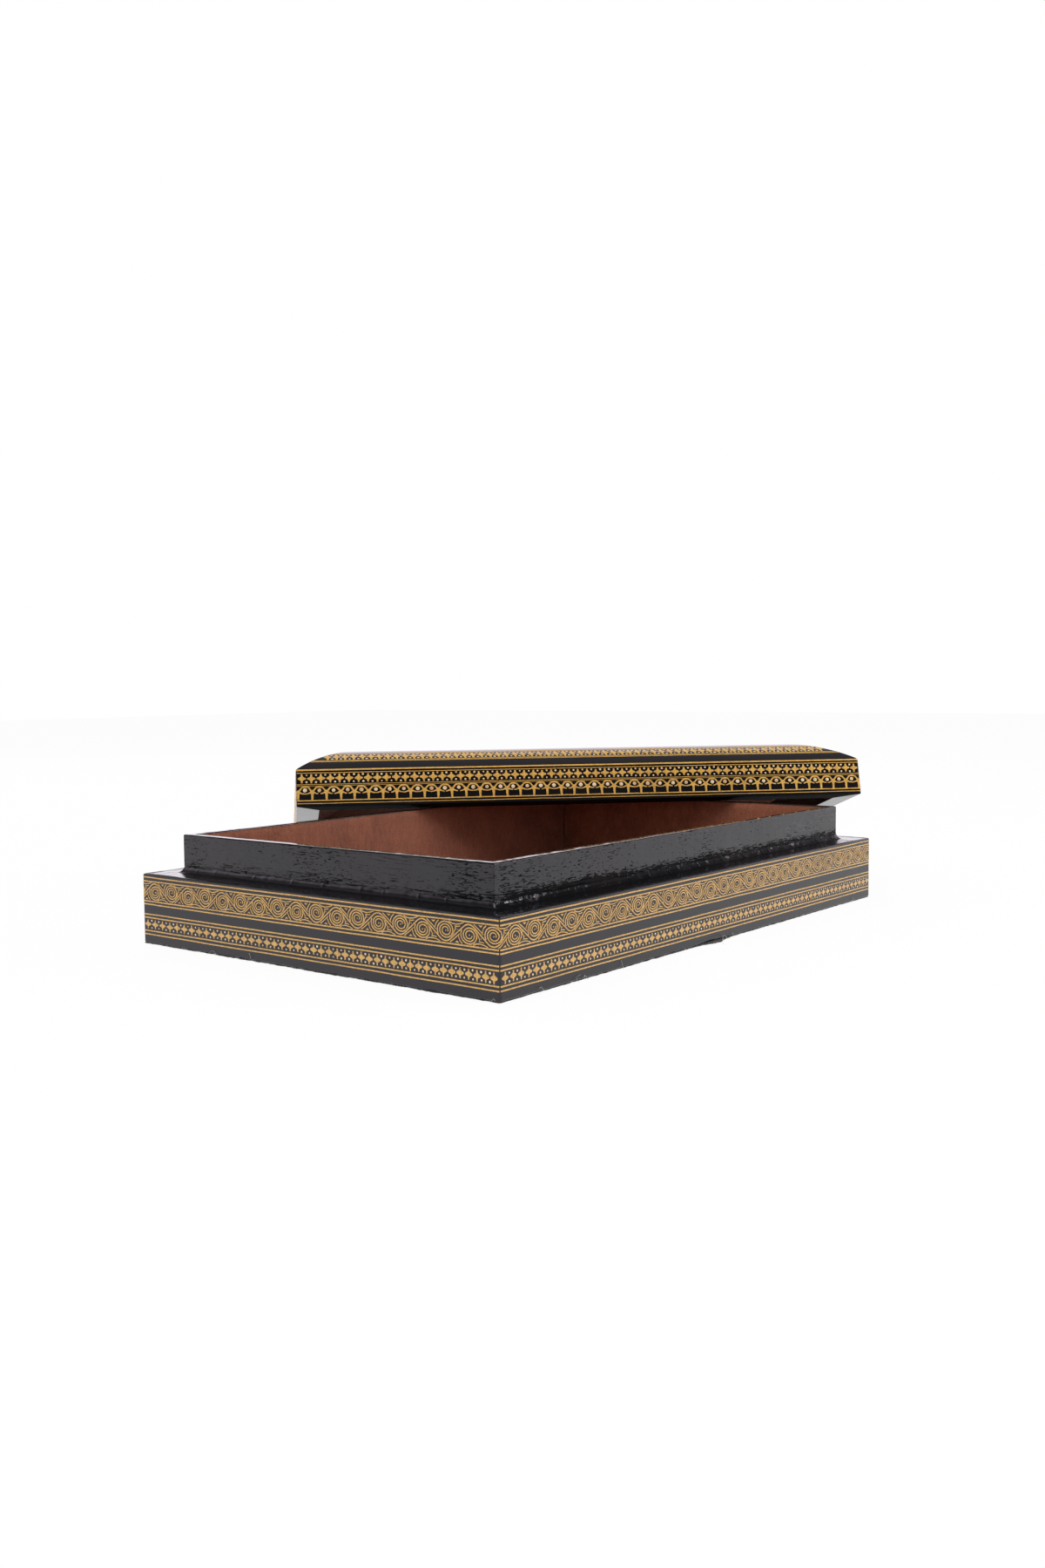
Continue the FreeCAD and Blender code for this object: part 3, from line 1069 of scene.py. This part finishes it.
def dome_ornament(side, seed):
    """The bands on the dome, which the mitred corners cut short."""
    surface = Surface(side, "lid")
    gold, cream = Paint(), Paint()
    for i, v in enumerate(SHOULDER_LINES + FIELD_LINES):
        half = shortened(surface.half, v)
        painted_line(gold, -half, half, v, LINE_WIDTH, seed * 10 + i)
    half = shortened(surface.half, SHOULDER_CROSSES.middle) - 0.6
    cross_band(gold, cream, -half, half, SHOULDER_CROSSES, seed)
    bottom, top = FIELD_SPIRALS
    half = shortened(surface.half, top) + 1.0
    count = int(2 * half / (FIELD_SPIRAL_PITCH * (top - bottom)))
    pitch = 2 * half / count
    spiral_band(gold, -half + pitch / 2, pitch, count, FIELD_SPIRALS, seed + 20)
    both_pieces("dome_ornament_" + side, gold, cream, surface, GOLD_LID)


lid_ornament()
for index, side in enumerate(SIDES):
    dome_ornament(side, 51 + index)


# Collar boards, thickly lacquered with level brush ridges

COLLAR_EDGE = 0.6
COLLAR_ROW = 0.20
COLLAR_COLUMN = 1.1


def collar_relief(distance, height):
    """Depth of the lacquer's brush ridges and pits, by distance round the collar."""
    ridges = waves(distance, height, (0.030, 30, 2.4, 3), (0.010, 12, 0.8, 4))
    drags = noise(distance / 6, height / 0.42, 5)
    pits = noise(distance / 1.7, height / 0.5, 6)
    low_part = 1 - smoothstep(BASE_HEIGHT + 3.5, BASE_HEIGHT + 8.5, height)
    where = smoothstep(-0.15, 0.45, noise(distance / 34, height / 7, 7) + 0.5 * low_part)
    ridges -= 0.085 * smoothstep(0.48, 0.72, drags) * (0.25 + 0.75 * where)
    ridges -= 0.080 * smoothstep(0.50, 0.80, pits) * where
    return ridges


def rounding(count):
    """A quarter circle at the collar's edge, as distances from the two faces it joins."""
    angles = [share * math.pi / 2 for share in np.linspace(0, 1, count)]
    return [(COLLAR_EDGE * (1 - math.cos(a)), COLLAR_EDGE * (1 - math.sin(a))) for a in angles]


def collar_board(side, start_distance):
    """One mitred board: foot, outer face, rounded top and inner face, swept along the side."""
    visible = np.arange(BASE_HEIGHT - 0.6, COLLAR_TOP - COLLAR_EDGE, COLLAR_ROW)
    outline = [(0.0, COLLAR_FOOT)] + [(0.0, height) for height in visible]
    outline += [(a, COLLAR_TOP - b) for a, b in rounding(6)]
    outline += [(COLLAR_THICKNESS * share, COLLAR_TOP) for share in (0.3, 0.5, 0.7)]
    outline += [(COLLAR_THICKNESS - b, COLLAR_TOP - a) for a, b in rounding(5)]
    outline.append((COLLAR_THICKNESS, COLLAR_FOOT))
    rows = len(outline)
    reach = side_reach(side, *COLLAR)
    middle = np.linspace(-0.994, 0.994, int(2 * reach / COLLAR_COLUMN))
    share = np.concatenate([[-1, -0.9985, -0.997], middle, [0.997, 0.9985, 1]])
    columns = len(share)
    points = np.empty((rows, columns, 3))
    distance = start_distance + (share + 1) * reach
    for row, (inset, height) in enumerate(outline):
        places, normals = plan(side, share * side_reach(side, *COLLAR, inset), inset, *COLLAR)
        shown = smoothstep(BASE_HEIGHT - 0.6, BASE_HEIGHT + 0.3, height)
        top_wave = 0.10 * noise(distance / 12, 4.0, 8)
        top_wave = top_wave * smoothstep(COLLAR_TOP - 2, COLLAR_TOP, height)
        facing = 1.0 if inset < COLLAR_EDGE * 0.7 else 0.0
        depth = (collar_relief(distance, height) - 0.02) * facing * shown
        points[row, :, :2] = places + normals * depth[:, None]
        points[row, :, 2] = height - np.abs(top_wave)
    faces = grid_faces(rows, columns, wrap_rows=True) + end_caps(rows, columns)
    name = "collar_board_" + side
    piece = make_piece(name, points, faces, BLACK_COLLAR, "base", "black_lacquer", 50.0)
    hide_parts("collar_" + side)
    return start_distance + 2 * reach


def round_the_box(make_side):
    """Each side in turn, told how far round the box it starts."""
    distance = 0.0
    for side in SIDES:
        distance = make_side(side, distance)


round_the_box(collar_board)


# The lacquer that pooled on the ledge: a thin skin with a wavy fillet up the collar's foot

POOL_LIFT = 0.10
POOL_SINK = -0.03
POOL_START = 0.45
POOL_COLUMN = 0.6
FINE_START = 8.8
CLIMB = 2.7
SPREAD = 2.5
RIM_PLACE = 1.15
RIM_HEIGHT = 0.16
RIM_WIDTH = 0.45
DRIP_SPACING = 19.0
DRIP_COUNT = 54
DRIP_RISE = 0.30
DRIP_WIDTH = 0.55


def drips(distance, hand):
    """Runs of lacquer down the collar's foot, at uneven places round the box."""
    rise = np.zeros_like(distance)
    for i in range(DRIP_COUNT):
        place = DRIP_SPACING * (i + hand.by(0.42))
        height = hand.near(DRIP_RISE, 0.6)
        rise += height * np.exp(-(((distance - place) / hand.near(DRIP_WIDTH, 0.4)) ** 2))
    return rise


def ledge_pool(side, start_distance):
    reach = side_reach(side, *BOX, 0.5)
    columns = int(2 * reach / POOL_COLUMN)
    share = np.linspace(-1, 1, columns)
    distance = start_distance + (share + 1) * reach
    coarse = np.linspace(POOL_START, FINE_START - 0.2, 24)
    insets = np.concatenate([coarse, np.linspace(FINE_START, LEDGE_WIDTH - 0.02, 26)])
    runs = drips(distance, Hand(5))
    climb = CLIMB + 0.5 * noise(distance / 9, 1.5, 9) + 0.3 * noise(distance / 3, 2.5, 10) + runs
    spread = SPREAD + 0.5 * noise(distance / 7, 3.5, 11) + 1.3 * runs
    rows = []
    places = [plan(side, share * side_reach(side, *BOX, a), a, *BOX)[0] for a in insets]
    for inset, spots in zip(insets, places):
        near = np.clip(1 - (LEDGE_WIDTH - inset) / spread, 0, 1)
        fillet = climb * (1 - np.sqrt(np.maximum(1 - near**2, 0)))
        off_rim = (inset - RIM_PLACE - 0.35 * noise(distance / 8, 6.5, 12)) / RIM_WIDTH
        rim = RIM_HEIGHT * np.exp(-(off_rim**2))
        ripples = waves(distance, inset, (0.05, 6, 1.6, 4), (0.03, 2.4, 0.8, 5))
        ease = smoothstep(0.4, 1.0, inset)
        height = BASE_HEIGHT + (POOL_LIFT + rim + ripples) * ease + 0.01 + fillet
        rows.append(np.column_stack([spots, height]))
    for spots in reversed(places):
        rows.append(np.column_stack([spots, np.full(columns, BASE_HEIGHT + POOL_SINK)]))
    faces = grid_faces(len(rows), columns, wrap_rows=True) + end_caps(len(rows), columns)
    material = BLACK_LEDGE_FRONT if side == "front" else BLACK_LEDGE
    make_piece("ledge_lacquer_" + side, rows, faces, material, "base", "black_lacquer", 60.0)
    return start_distance + 2 * reach


round_the_box(ledge_pool)


# Lid top: the moulded shell, in rings from its lip over the shoulder to the flat

RING_STEP = 2.2
FIELD_RING_STEP = 6.0


def ring(inset, height, shares, corner=CORNER_RADIUS):
    """One closed ring round the rectangle, with as many points on each side."""
    points = []
    for side in SIDES:
        outline = (BOX_LENGTH, BOX_WIDTH, corner)
        places, _ = plan(side, shares * side_reach(side, *outline, inset), inset, *outline)
        points.append(np.column_stack([places, np.full(len(shares), height)]))
    return np.concatenate(points)


def under_dome(inset, radius):
    """Height under the shoulder and the flat, on an arc of the shoulder's centre."""
    return SHOULDER_CENTRE + math.sqrt(radius**2 - max(SHOULDER_WIDTH - inset, 0.0) ** 2)


def lid_shell():
    ends = np.array([0.9965, 0.9975, 0.9985, 0.9995])
    shares = np.concatenate([[-1], -ends[::-1], np.linspace(-0.99, 0.99, 90), ends])
    rings = []
    seat = LID_WALL_HEIGHT
    outer = [seat + step for step in (0.0, *np.linspace(0.3, BLEND_HEIGHT - seat, 4))]
    outer += list(np.linspace(BLEND_HEIGHT, BLEND_HEIGHT + BLEND_RUN, 6))[1:]
    outer += list(np.arange(BLEND_HEIGHT + BLEND_RUN + 1.0, FIELD_START, RING_STEP))
    field_end = FIELD_START + DEEPEST_RING - SHOULDER_WIDTH
    outer += list(np.arange(FIELD_START + 2.0, field_end, FIELD_RING_STEP)) + [field_end]
    for v in outer:
        inset, height, _, _ = (float(value) for value in lid_profile(v))
        rings.append(ring(inset, height, shares))
    outer_count = len(rings)
    insets = [DEEPEST_RING] + list(np.arange(SHOULDER_WIDTH + 18, SHOULDER_WIDTH, -6.0))
    insets += list(np.linspace(SHOULDER_WIDTH, LID_WALL, 22))
    rings += [ring(inset, under_dome(inset, SHELL_RADIUS), shares) for inset in insets]
    rings.append(ring(LID_WALL, seat, shares))
    points = np.concatenate(rings)
    gently = 0.05 * noise(points[:, 0] / 60, points[:, 1] / 60, 3) - 0.05
    gently += 0.02 * noise(points[:, 0] / 22, points[:, 1] / 22, 4)
    points[:, 2] += gently * smoothstep(LID_SIDE_HEIGHT, LID_SIDE_HEIGHT + 4, points[:, 2])
    faces = double_skin(rings, outer_count)
    piece = make_piece("lid_dome", points, faces, BLACK_LID, "lid", "black_lacquer", 24.0)
    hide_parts("lid_top")


lid_shell()


# Velvet

def cloth_slab(origin, right, up, width, height, thickness, step, seed, edge=0.5):
    """A closed slab of velvet: a lightly quilted face with softly rounded edges.

    origin is the lower left corner of its back, right and up lie in the face, and its pile
    stands towards right x up."""
    right, up = np.array(right, float), np.array(up, float)
    out = np.cross(right, up)
    columns, rows = max(4, int(width / step)), max(4, int(height / step))
    a, b = np.linspace(0, width, columns), np.linspace(0, height, rows)
    across, upward = np.meshgrid(a, b)
    border = np.minimum.reduce([across, width - across, upward, height - upward])
    rise = thickness - edge * (1 - smoothstep(0, 1.4, border))
    swell = waves(across, upward, (0.16, 26, 26, seed), (0.07, 7, 7, seed + 1))
    rise = rise + swell * smoothstep(0, 3, border) - 0.12
    back = origin + across[..., None] * right + upward[..., None] * up
    front = back + rise[..., None] * out
    points = np.concatenate([front.reshape(-1, 3), back.reshape(-1, 3)])
    return points, slab_faces(rows, columns)[0]


THIRDS_OF_TURN = (0, 2.0944, 4.1888)
LINING_STEP = 1.6
FLOOR_STEP = 2.2
LID_VELVET_GAP = 0.05

# Length, thickness and number of the hairs: per mm of a lining's edge, and round the felt
EDGE_PILE = (0.85, 0.045)
EDGE_PILE_PER_MM = 9
FUZZ = (1.1, 0.035, 2600)


def around(turn, side, other):
    return math.cos(turn) * side + math.sin(turn) * other


def pile(name, starts, directions, length, thickness, count, seed, material, body, slot):
    """Short loose hairs: thin three-sided spikes that lean at random."""
    rng = np.random.default_rng(seed)
    pick = rng.integers(0, len(starts), count)
    foot = starts[pick] + rng.uniform(-0.12, 0.12, (count, 3))
    lean = directions[pick] + rng.normal(0, 0.45, (count, 3))
    lean /= np.linalg.norm(lean, axis=1)[:, None]
    bend = rng.normal(0, 0.3, (count, 3))
    size = length * rng.uniform(0.35, 1.0, count)[:, None]
    knee = foot + lean * size * 0.55
    tip = knee + (lean + bend) * size * 0.45
    side = np.cross(lean, rng.normal(0, 1, (count, 3)))
    side /= np.maximum(np.linalg.norm(side, axis=1), 1e-6)[:, None]
    other = np.cross(lean, side)
    points, faces = [], []
    for i in range(count):
        start = len(points)
        for middle, scale in ((foot[i], 1.0), (knee[i], 0.7)):
            for turn in THIRDS_OF_TURN:
                points.append(middle + thickness * scale * around(turn, side[i], other[i]))
        points.append(tip[i])
        for k in range(3):
            n = (k + 1) % 3
            faces.append((start + k, start + n, start + 3 + n, start + 3 + k))
            faces.append((start + 3 + k, start + 3 + n, start + 6))
        faces.append((start + 2, start + 1, start))
    return make_piece(name, points, faces, material, body, slot, 80.0)


def wall_lining(side, seed):
    """Velvet on card inside one collar board."""
    box_low, box_high = np.array(low("lining_" + side)), np.array(high("lining_" + side))
    size = box_high - box_low
    height = LINING_TOP - COLLAR_FOOT
    corner = box_low.copy()
    if side in ("front", "right"):
        corner[0] = box_high[0]
    if side in ("back", "right"):
        corner[1] = box_high[1]
    inward = -np.array([*OUT[side], 0.0])
    up = np.array([0.0, 0.0, 1.0])
    right = np.cross(up, inward)
    width = abs(size @ right)
    slab = cloth_slab(corner, right, up, width, height, LINING_THICKNESS, LINING_STEP, seed)
    piece = make_piece("velvet_lining_" + side, *slab, VELVET_BASE, "base", "velvet", 60.0)
    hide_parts("lining_" + side)
    along = np.linspace(0, 1, int(width / 0.35))[:, None]
    edge = corner + right * width * along + up * (height - 0.15) + inward * 0.7
    hairs = pile(
        "velvet_edge_" + side, edge, np.tile(up * 0.9 + inward * 0.3, (len(edge), 1)),
        *EDGE_PILE, int(width * EDGE_PILE_PER_MM), seed, PILE, "base", "velvet",
    )


for index, side in enumerate(SIDES):
    wall_lining(side, 2 + index)


def floor_lining():
    corner = np.array(low("floor_lining"))
    size = np.array(high("floor_lining")) - corner
    slab = cloth_slab(corner, (1, 0, 0), (0, 1, 0), *size, FLOOR_STEP, 7, edge=0.7)
    piece = make_piece("velvet_floor", *slab, VELVET_BASE, "base", "velvet", 60.0)
    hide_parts("floor_lining")


floor_lining()


def lid_velvet():
    """Velvet glued over the whole inside of the dome, in the same rings as the shell."""
    shares = np.concatenate([[-1], np.linspace(-0.985, 0.985, 70), [0.995]])
    back_radius = SHELL_RADIUS - LID_VELVET_GAP
    face_radius = back_radius - LID_LINING_THICKNESS + 0.1
    insets = list(np.linspace(LID_WALL + LID_VELVET_GAP, SHOULDER_WIDTH, 22))
    insets += list(np.arange(SHOULDER_WIDTH + 6, DEEPEST_RING - 3, 6.0)) + [DEEPEST_RING]

    def surface_ring(inset, radius, inward):
        return ring(inset + inward, under_dome(inset + inward, radius), shares, 0.0)

    foot = ring(LID_WALL + LID_VELVET_GAP, LID_WALL_HEIGHT + 0.15, shares, 0.0)
    back = [foot] + [surface_ring(inset, back_radius, 0.0) for inset in insets]
    face = [ring(LID_WALL + LID_LINING_THICKNESS, LID_WALL_HEIGHT + 0.15, shares, 0.0)]
    for inset in insets:
        inward = max(LID_LINING_THICKNESS - LID_VELVET_GAP - (inset - LID_WALL) * 0.02, 0.0)
        inward = inward if inset < SHOULDER_WIDTH else 0.0
        face.append(surface_ring(inset, face_radius, inward))
    rings = back + face[::-1]
    points = np.concatenate(rings)
    half = len(back) * len(foot)
    swell = 0.14 * noise(points[:, 0] / 24, points[:, 1] / 24, 5)
    points[half:, 2] += swell[half:] - 0.05
    faces = double_skin(rings, len(back))
    piece = make_piece("lid_velvet", points, faces, VELVET_LID, "lid", "velvet", 60.0)
    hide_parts("lid_lining")


lid_velvet()


# Longer hairs that curl up from the cloth's edge: a few seen ones, and others at random
HAIR_THICKNESS = 0.055
SEEN_HAIRS = (
    (
        (-153.8, 57.2, 0.2), (-153.2, 55.4, 1.6), (-153.0, 53.7, 2.1), (-153.1, 52.4, 1.2),
        (-153.4, 52.2, 0.2),
    ),
    ((-153.9, 31.6, 0.2), (-153.3, 30.0, 1.4), (-153.0, 30.6, 2.6), (-152.9, 31.3, 3.4)),
    ((-107.2, -103.2, 0.2), (-108.4, -102.6, 1.2), (-107.0, -102.3, 2.4), (-104.9, -102.2, 2.7)),
    ((-77.2, -102.8, 0.2), (-76.8, -102.2, 2.0), (-77.4, -102.0, 3.6)),
    (
        (-8.2, -108.0, 0.15), (-4.0, -105.0, 1.2), (0.3, -102.9, 2.7), (2.6, -102.9, 1.5),
        (4.9, -103.4, 0.2),
    ),
)
HAIR_COUNT = 22
FELT_GRID = (190, 128)
BULGE_PLACE = -5.0
BULGE_DEPTH = 2.6
BULGE_WIDTH = 9.0


def curl(points, count=14):
    """A smooth line through a hair's points."""
    points = np.array(points, float)
    run = np.linspace(0, len(points) - 1, count)
    bends = np.stack([np.interp(run, range(len(points)), points[:, k]) for k in range(3)], axis=1)
    for _ in range(2):
        bends[1:-1] = (bends[:-2] + 2 * bends[1:-1] + bends[2:]) / 4
    return bends


def random_hair(rng):
    side = SIDES[rng.integers(4)]
    along, out = np.array([*ALONG[side], 0.0]), np.array([*OUT[side], 0.0])
    half, stand = half_sizes(side, BOX_LENGTH, BOX_WIDTH)
    foot = along * rng.uniform(-half, half) * 0.97 + out * (stand + 0.9) + (0, 0, 0.2)
    reach, rise, lean = rng.uniform(1, 4), rng.uniform(0.5, 2.4), rng.choice((-1, 1))
    middle = foot + along * lean * reach * 0.6 - out * 0.4 + (0, 0, rise)
    return [foot, middle, foot + along * lean * reach + (0, 0, rise * rng.uniform(0, 1.1))]


def loose_hairs():
    rng = np.random.default_rng(23)
    points, faces = [], []
    for line in (*SEEN_HAIRS, *(random_hair(rng) for _ in range(HAIR_COUNT))):
        line = curl(line)
        run = np.gradient(line, axis=0)
        side = np.cross(run, (0.3, 0.5, 0.8))
        side /= np.linalg.norm(side, axis=1)[:, None]
        other = np.cross(run, side)
        other /= np.linalg.norm(other, axis=1)[:, None]
        start = len(points)
        for turn in THIRDS_OF_TURN:
            points += list(line + HAIR_THICKNESS * around(turn, side, other))
        count = len(line)
        for k in range(3):
            n = (k + 1) % 3
            for i in range(count - 1):
                here, there = start + k * count + i, start + n * count + i
                faces.append((here, here + 1, there + 1, there))
        faces.append((start, start + count, start + 2 * count))
        faces.append((start + 3 * count - 1, start + 2 * count - 1, start + count - 1))
    return make_piece("felt_hairs", points, faces, LINT, "base", "underside_cloth", 80.0)


def underside_felt():
    """The cloth under the box, with a ragged edge and loose fibres."""
    corner, top = np.array(low("underside_felt")), np.array(high("underside_felt"))
    size = top - corner
    columns, rows = FELT_GRID
    a, b = np.linspace(0, 1, columns), np.linspace(0, 1, rows)
    across, upward = np.meshgrid(a, b)
    x, y = corner[0] + across * size[0], corner[1] + upward * size[1]
    border = np.minimum.reduce([x - corner[0], top[0] - x, y - corner[1], top[1] - y])
    ragged = waves(x, y, (0.45, 2.2, 2.2, 6), (0.3, 0.9, 0.9, 8))
    near = 1 - smoothstep(0, 2.5, border)
    push = 1 + near * (0.85 + ragged) / (np.hypot(x, y) + 1)
    x, y = x * push, y * push
    y = y - BULGE_DEPTH * near * np.exp(-(((x - BULGE_PLACE) / BULGE_WIDTH) ** 2)) * (y < 0)
    upper = np.full_like(x, FELT_THICKNESS + 0.02)
    lower = 0.02 + 0.10 * near * (1 + noise(x / 1.5, y / 1.5, 9))
    lower += 0.03 * (1 + noise(x / 5, y / 5, 3))
    points = np.concatenate([np.stack([x, y, z], -1).reshape(-1, 3) for z in (upper, lower)])
    faces, rim = slab_faces(rows, columns)
    piece = make_piece("felt_underside", points, faces, FELT, "base", "underside_cloth", 60.0)
    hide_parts("underside_felt")
    edge = points[rim] * (1, 1, 0) + (0, 0, FELT_THICKNESS * 0.5)
    outward = edge * (1, 1, 0) / np.linalg.norm(edge[:, :2], axis=1)[:, None]
    fuzz = pile(
        "felt_fuzz", edge, outward + (0, 0, 0.35), *FUZZ, 19, LINT, "base", "underside_cloth",
    )
    hairs = loose_hairs()


underside_felt()


# Stage: a white table, soft lamps and the camera

WHITE = (1, 1, 1, 1)
TABLE_SIZE = 8.0
TABLE_TOP = -0.0002
TABLE_WHITENESS = 0.94
CAMERA_PLACE = Vector((-0.53520, -0.41465, 0.11344))
CAMERA_YAW = 0.6689
CAMERA_PITCH = 0.0672
CAMERA_ROLL = -0.0094
FOCAL_LENGTH_PIXELS = 1626.64
PICTURE_SIZE = (1200, 1800)
PICTURE_AXIS = (599.09, 892.99)
SENSOR = 36.0
ROOM_LIGHT = 0.62
BACKDROP_SIDE = (0.784, 0.620, 0.0)
REFLECTED_GLOW = (-0.60, 0.60, 0.11, 1.50)
OVERHEAD_SHADE = (0.10, 0.62, 1.0, 0.10)
GLOW_COLOUR = (0.98, 0.93, 1, 1)
LAMP_AIM = Vector((0.03, 0.03, 0.02))


def camera():
    yaw, pitch, roll = CAMERA_YAW, CAMERA_PITCH, CAMERA_ROLL
    flat = math.cos(pitch)
    ahead = Vector((math.cos(yaw) * flat, math.sin(yaw) * flat, -math.sin(pitch)))
    level = Vector((math.sin(yaw), -math.cos(yaw), 0))
    upright = level.cross(ahead)
    right = math.cos(roll) * level + math.sin(roll) * upright
    up = -math.sin(roll) * level + math.cos(roll) * upright
    data = bpy.data.cameras.new("camera")
    data.sensor_width = SENSOR
    data.lens = FOCAL_LENGTH_PIXELS * SENSOR / max(PICTURE_SIZE)
    data.shift_x = (PICTURE_SIZE[0] / 2 - PICTURE_AXIS[0]) / max(PICTURE_SIZE)
    data.shift_y = (PICTURE_AXIS[1] - PICTURE_SIZE[1] / 2) / max(PICTURE_SIZE)
    data.clip_start, data.clip_end = 0.01, 30.0
    view = show("camera", data)
    turned = Matrix((right, up, -ahead)).transposed().to_4x4()
    view.matrix_world = Matrix.Translation(CAMERA_PLACE) @ turned
    bpy.context.scene.camera = view


def table():
    """A table that is almost plain white to the camera and in mirrors, with a faint shadow."""
    n = Nodes("table")
    n.set(Base_Color=(0.93, 0.93, 0.93, 1), Roughness=0.9, Specular_IOR_Level=0.0)
    glow = n.add("Emission", {"Color": WHITE, "Strength": 1.0}).outputs[0]
    rays = n.add("LightPath").outputs
    seen = n.math("MAXIMUM", rays["Is Camera Ray"], rays["Is Glossy Ray"])
    seen = n.math("MAXIMUM", seen, rays["Is Transmission Ray"])
    surface = n.over(n.math("MULTIPLY", seen, TABLE_WHITENESS), n.shader.outputs[0], glow)
    n.feed(n.tree.nodes["Material Output"].inputs["Surface"], surface)
    half = TABLE_SIZE / 2
    corners = [(x * half, y * half, TABLE_TOP) for x, y in ((-1, -1), (1, -1), (1, 1), (-1, 1))]
    mesh = bpy.data.meshes.new("table")
    mesh.from_pydata(corners, [], [(0, 1, 2, 3)])
    mesh.materials.append(n.material)
    top = show("table", mesh)


def share_facing(n, direction, ranges):
    """A value that eases from one end of its range to the other towards a direction."""
    place = n.add("TexCoord").outputs["Generated"]
    return n.span(n.vector_math("DOT_PRODUCT", place, direction), ranges[:2], ranges[2:])


def world():
    """White behind the object and to the camera, dim above the photographer's side."""
    surroundings = bpy.data.worlds.new("studio")
    bpy.context.scene.world = surroundings
    surroundings.use_nodes = True
    n = Tree(surroundings.node_tree)
    light = n.tree.nodes["Background"]
    n.feed(light.inputs["Color"], WHITE)
    n.feed(light.inputs["Strength"], ROOM_LIGHT)
    glow = n.math(
        "MULTIPLY",
        share_facing(n, BACKDROP_SIDE, REFLECTED_GLOW),
        share_facing(n, (0, 0, 1), OVERHEAD_SHADE),
    )
    reflected = n.add("Background", {"Color": GLOW_COLOUR, "Strength": glow}).outputs[0]
    white = n.add("Background", {"Color": WHITE}).outputs[0]
    rays = n.add("LightPath").outputs
    seen = n.over(rays["Is Glossy Ray"], light.outputs[0], reflected)
    seen = n.over(rays["Is Camera Ray"], seen, white)
    seen = n.over(rays["Is Transmission Ray"], seen, white)
    n.feed(n.tree.nodes["World Output"].inputs["Surface"], seen)


def soft_lamp(name, place, size, power, mirrored=False):
    data = bpy.data.lights.new(name, "AREA")
    data.shape = "RECTANGLE"
    data.size, data.size_y = size
    data.energy = power
    lamp = show(name, data)
    lamp.location = place
    lamp.visible_glossy = mirrored
    lamp.rotation_mode = "QUATERNION"
    lamp.rotation_quaternion = (LAMP_AIM - Vector(place)).to_track_quat("-Z", "Y")


camera()
table()
world()
soft_lamp("key_lamp", (-0.9, -0.5, 1.3), (1.1, 0.8), 9.0)
soft_lamp("fill_lamp", (0.9, -1.3, 0.75), (0.9, 0.5), 7.0, mirrored=True)
soft_lamp("back_lamp", (0.5, 1.3, 1.2), (1.2, 0.8), 6.0)

bpy.context.scene.view_settings.view_transform = "Standard"
